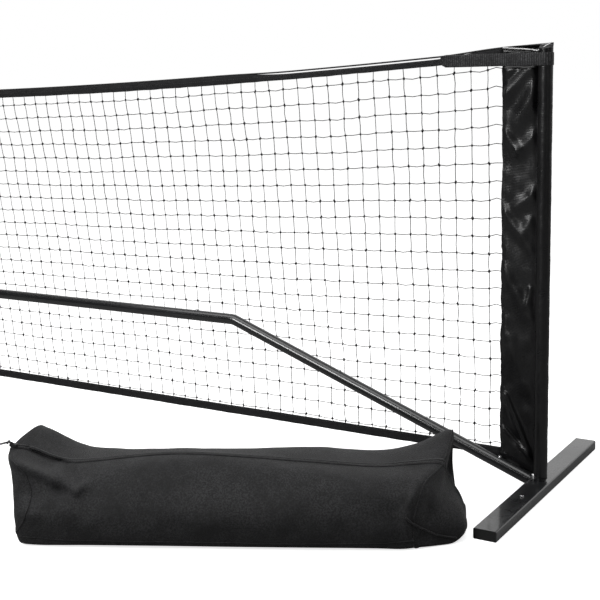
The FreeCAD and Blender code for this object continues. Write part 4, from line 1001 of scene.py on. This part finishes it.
def piping(name, line, radius):
    """A thin roll of bag cloth over a seam."""
    rows = []
    for i, point in enumerate(line):
        ahead = (line[min(i + 1, len(line) - 1)] - line[max(i - 1, 0)]).normalized()
        side_way = ahead.cross(Vector((0, 0, 1)))
        side_way = side_way.normalized() if side_way.length > 0.1 else Vector((1, 0, 0))
        over = side_way.cross(ahead)
        rows.append([tuple(point + side_way * radius * math.cos(a) + over * radius * math.sin(a))
                     for a in turns(8)])
    piece = cloth_mesh(name, rows, bag_cloth, closed=True, capped=True)
    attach(piece, "bag")
    return piece


piping("bag_right_seam", bag_seam(11, 0.0002), 0.0013)
piping("bag_front_seam", bag_line(1, 1, 11, 0.0002), 0.0012)
piping("bag_back_seam", bag_line(7, 1, 11, 0.0002), 0.0012)


def on_bag(i, place):
    """A point of the bag's surface on a row, at a place between two of the row's points."""
    low = int(math.floor(place))
    return Vector(dense[i][low]) * (1 - place + low) + Vector(dense[i][low + 1]) * (place - low)


def bag_route(stops, lift):
    """A line across the bag's surface through stops, each a place along it and a place round it."""
    line = []
    for (along0, round0), (along1, round1) in zip(stops, stops[1:]):
        for share in np.linspace(0, 1, 12, endpoint=False):
            i = (along0 + (along1 - along0) * share) * FINE_ALONG
            j = (round0 + (round1 - round0) * share) * FINE_AROUND
            point = on_bag(int(i), j).lerp(on_bag(int(i) + 1, j), i - int(i))
            line.append(bag_place(*(point + Vector((lift, -lift, 0)))))
    return line


piping("bag_right_end_seam", bag_route(((10.2, 1.9), (11.3, 1.5), (12.9, 0.9)), 0.0012), 0.0018)
gusset = ((1.08, 3.6), (1.45, 3.1), (1.9, 2.7), (2.2, 2.35), (2.28, 2.0), (2.15, 1.6), (1.8, 1.2),
          (1.3, 0.85))
piping("bag_left_end_seam", bag_route(gusset, 0.0006), 0.0013)

# Zip
# A coil zip along the top of the bag under two turned-in lips of cloth, each sewn down with a row of
# stitches. The slider stands at the left tip, and its two pulls lie out over the bag's end.
LIP_STEPS = 1.1
ZIP_STOP = int(11.5 * FINE_ALONG) + 1
zip_line = bag_line(4, 1, 11.5, 0.0012)
# Section of a lip: steps away from the zip's middle, and height over the cloth.
LIP_SECTION = ((0.15, 0.0022), (0.35, 0.0026), (0.7, 0.0022), (1.0, 0.0012), (1.0, 0.0003),
               (0.15, 0.0006))
ZIP_PLACE = 4 * FINE_AROUND
for edge, turn in (("front", -1), ("rear", 1)):
    lip_rows = []
    for i in range(FINE_ALONG, ZIP_STOP):
        row = []
        for step, lift in LIP_SECTION:
            point = on_bag(i, ZIP_PLACE + turn * step * LIP_STEPS) + Vector((0, 0, lift))
            row.append(tuple(bag_place(*point)))
        lip_rows.append(row)
    lip = cloth_mesh("zip_lip_" + edge, lip_rows, bag_cloth, closed=True, capped=True)
    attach(lip, "bag")
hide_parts("zip_tape")
sew("zip_coil", [zip_line], "bag", pitch=0.0016, length=0.0009, thickness=0.0015,
    material=black_enamel)
seam_lines = []
for away in (-0.5, 0.5):
    seam_lines.append([bag_place(*(on_bag(i, ZIP_PLACE + away) + Vector((0, 0, 0.0024))))
                       for i in range(FINE_ALONG, ZIP_STOP)])
sew("bag_top_stitches", seam_lines, "bag", pitch=0.004, length=0.0026)
for node in ("zip_slider", "zip_pull_front", "zip_pull_rear"):
    dress(node, black_enamel)
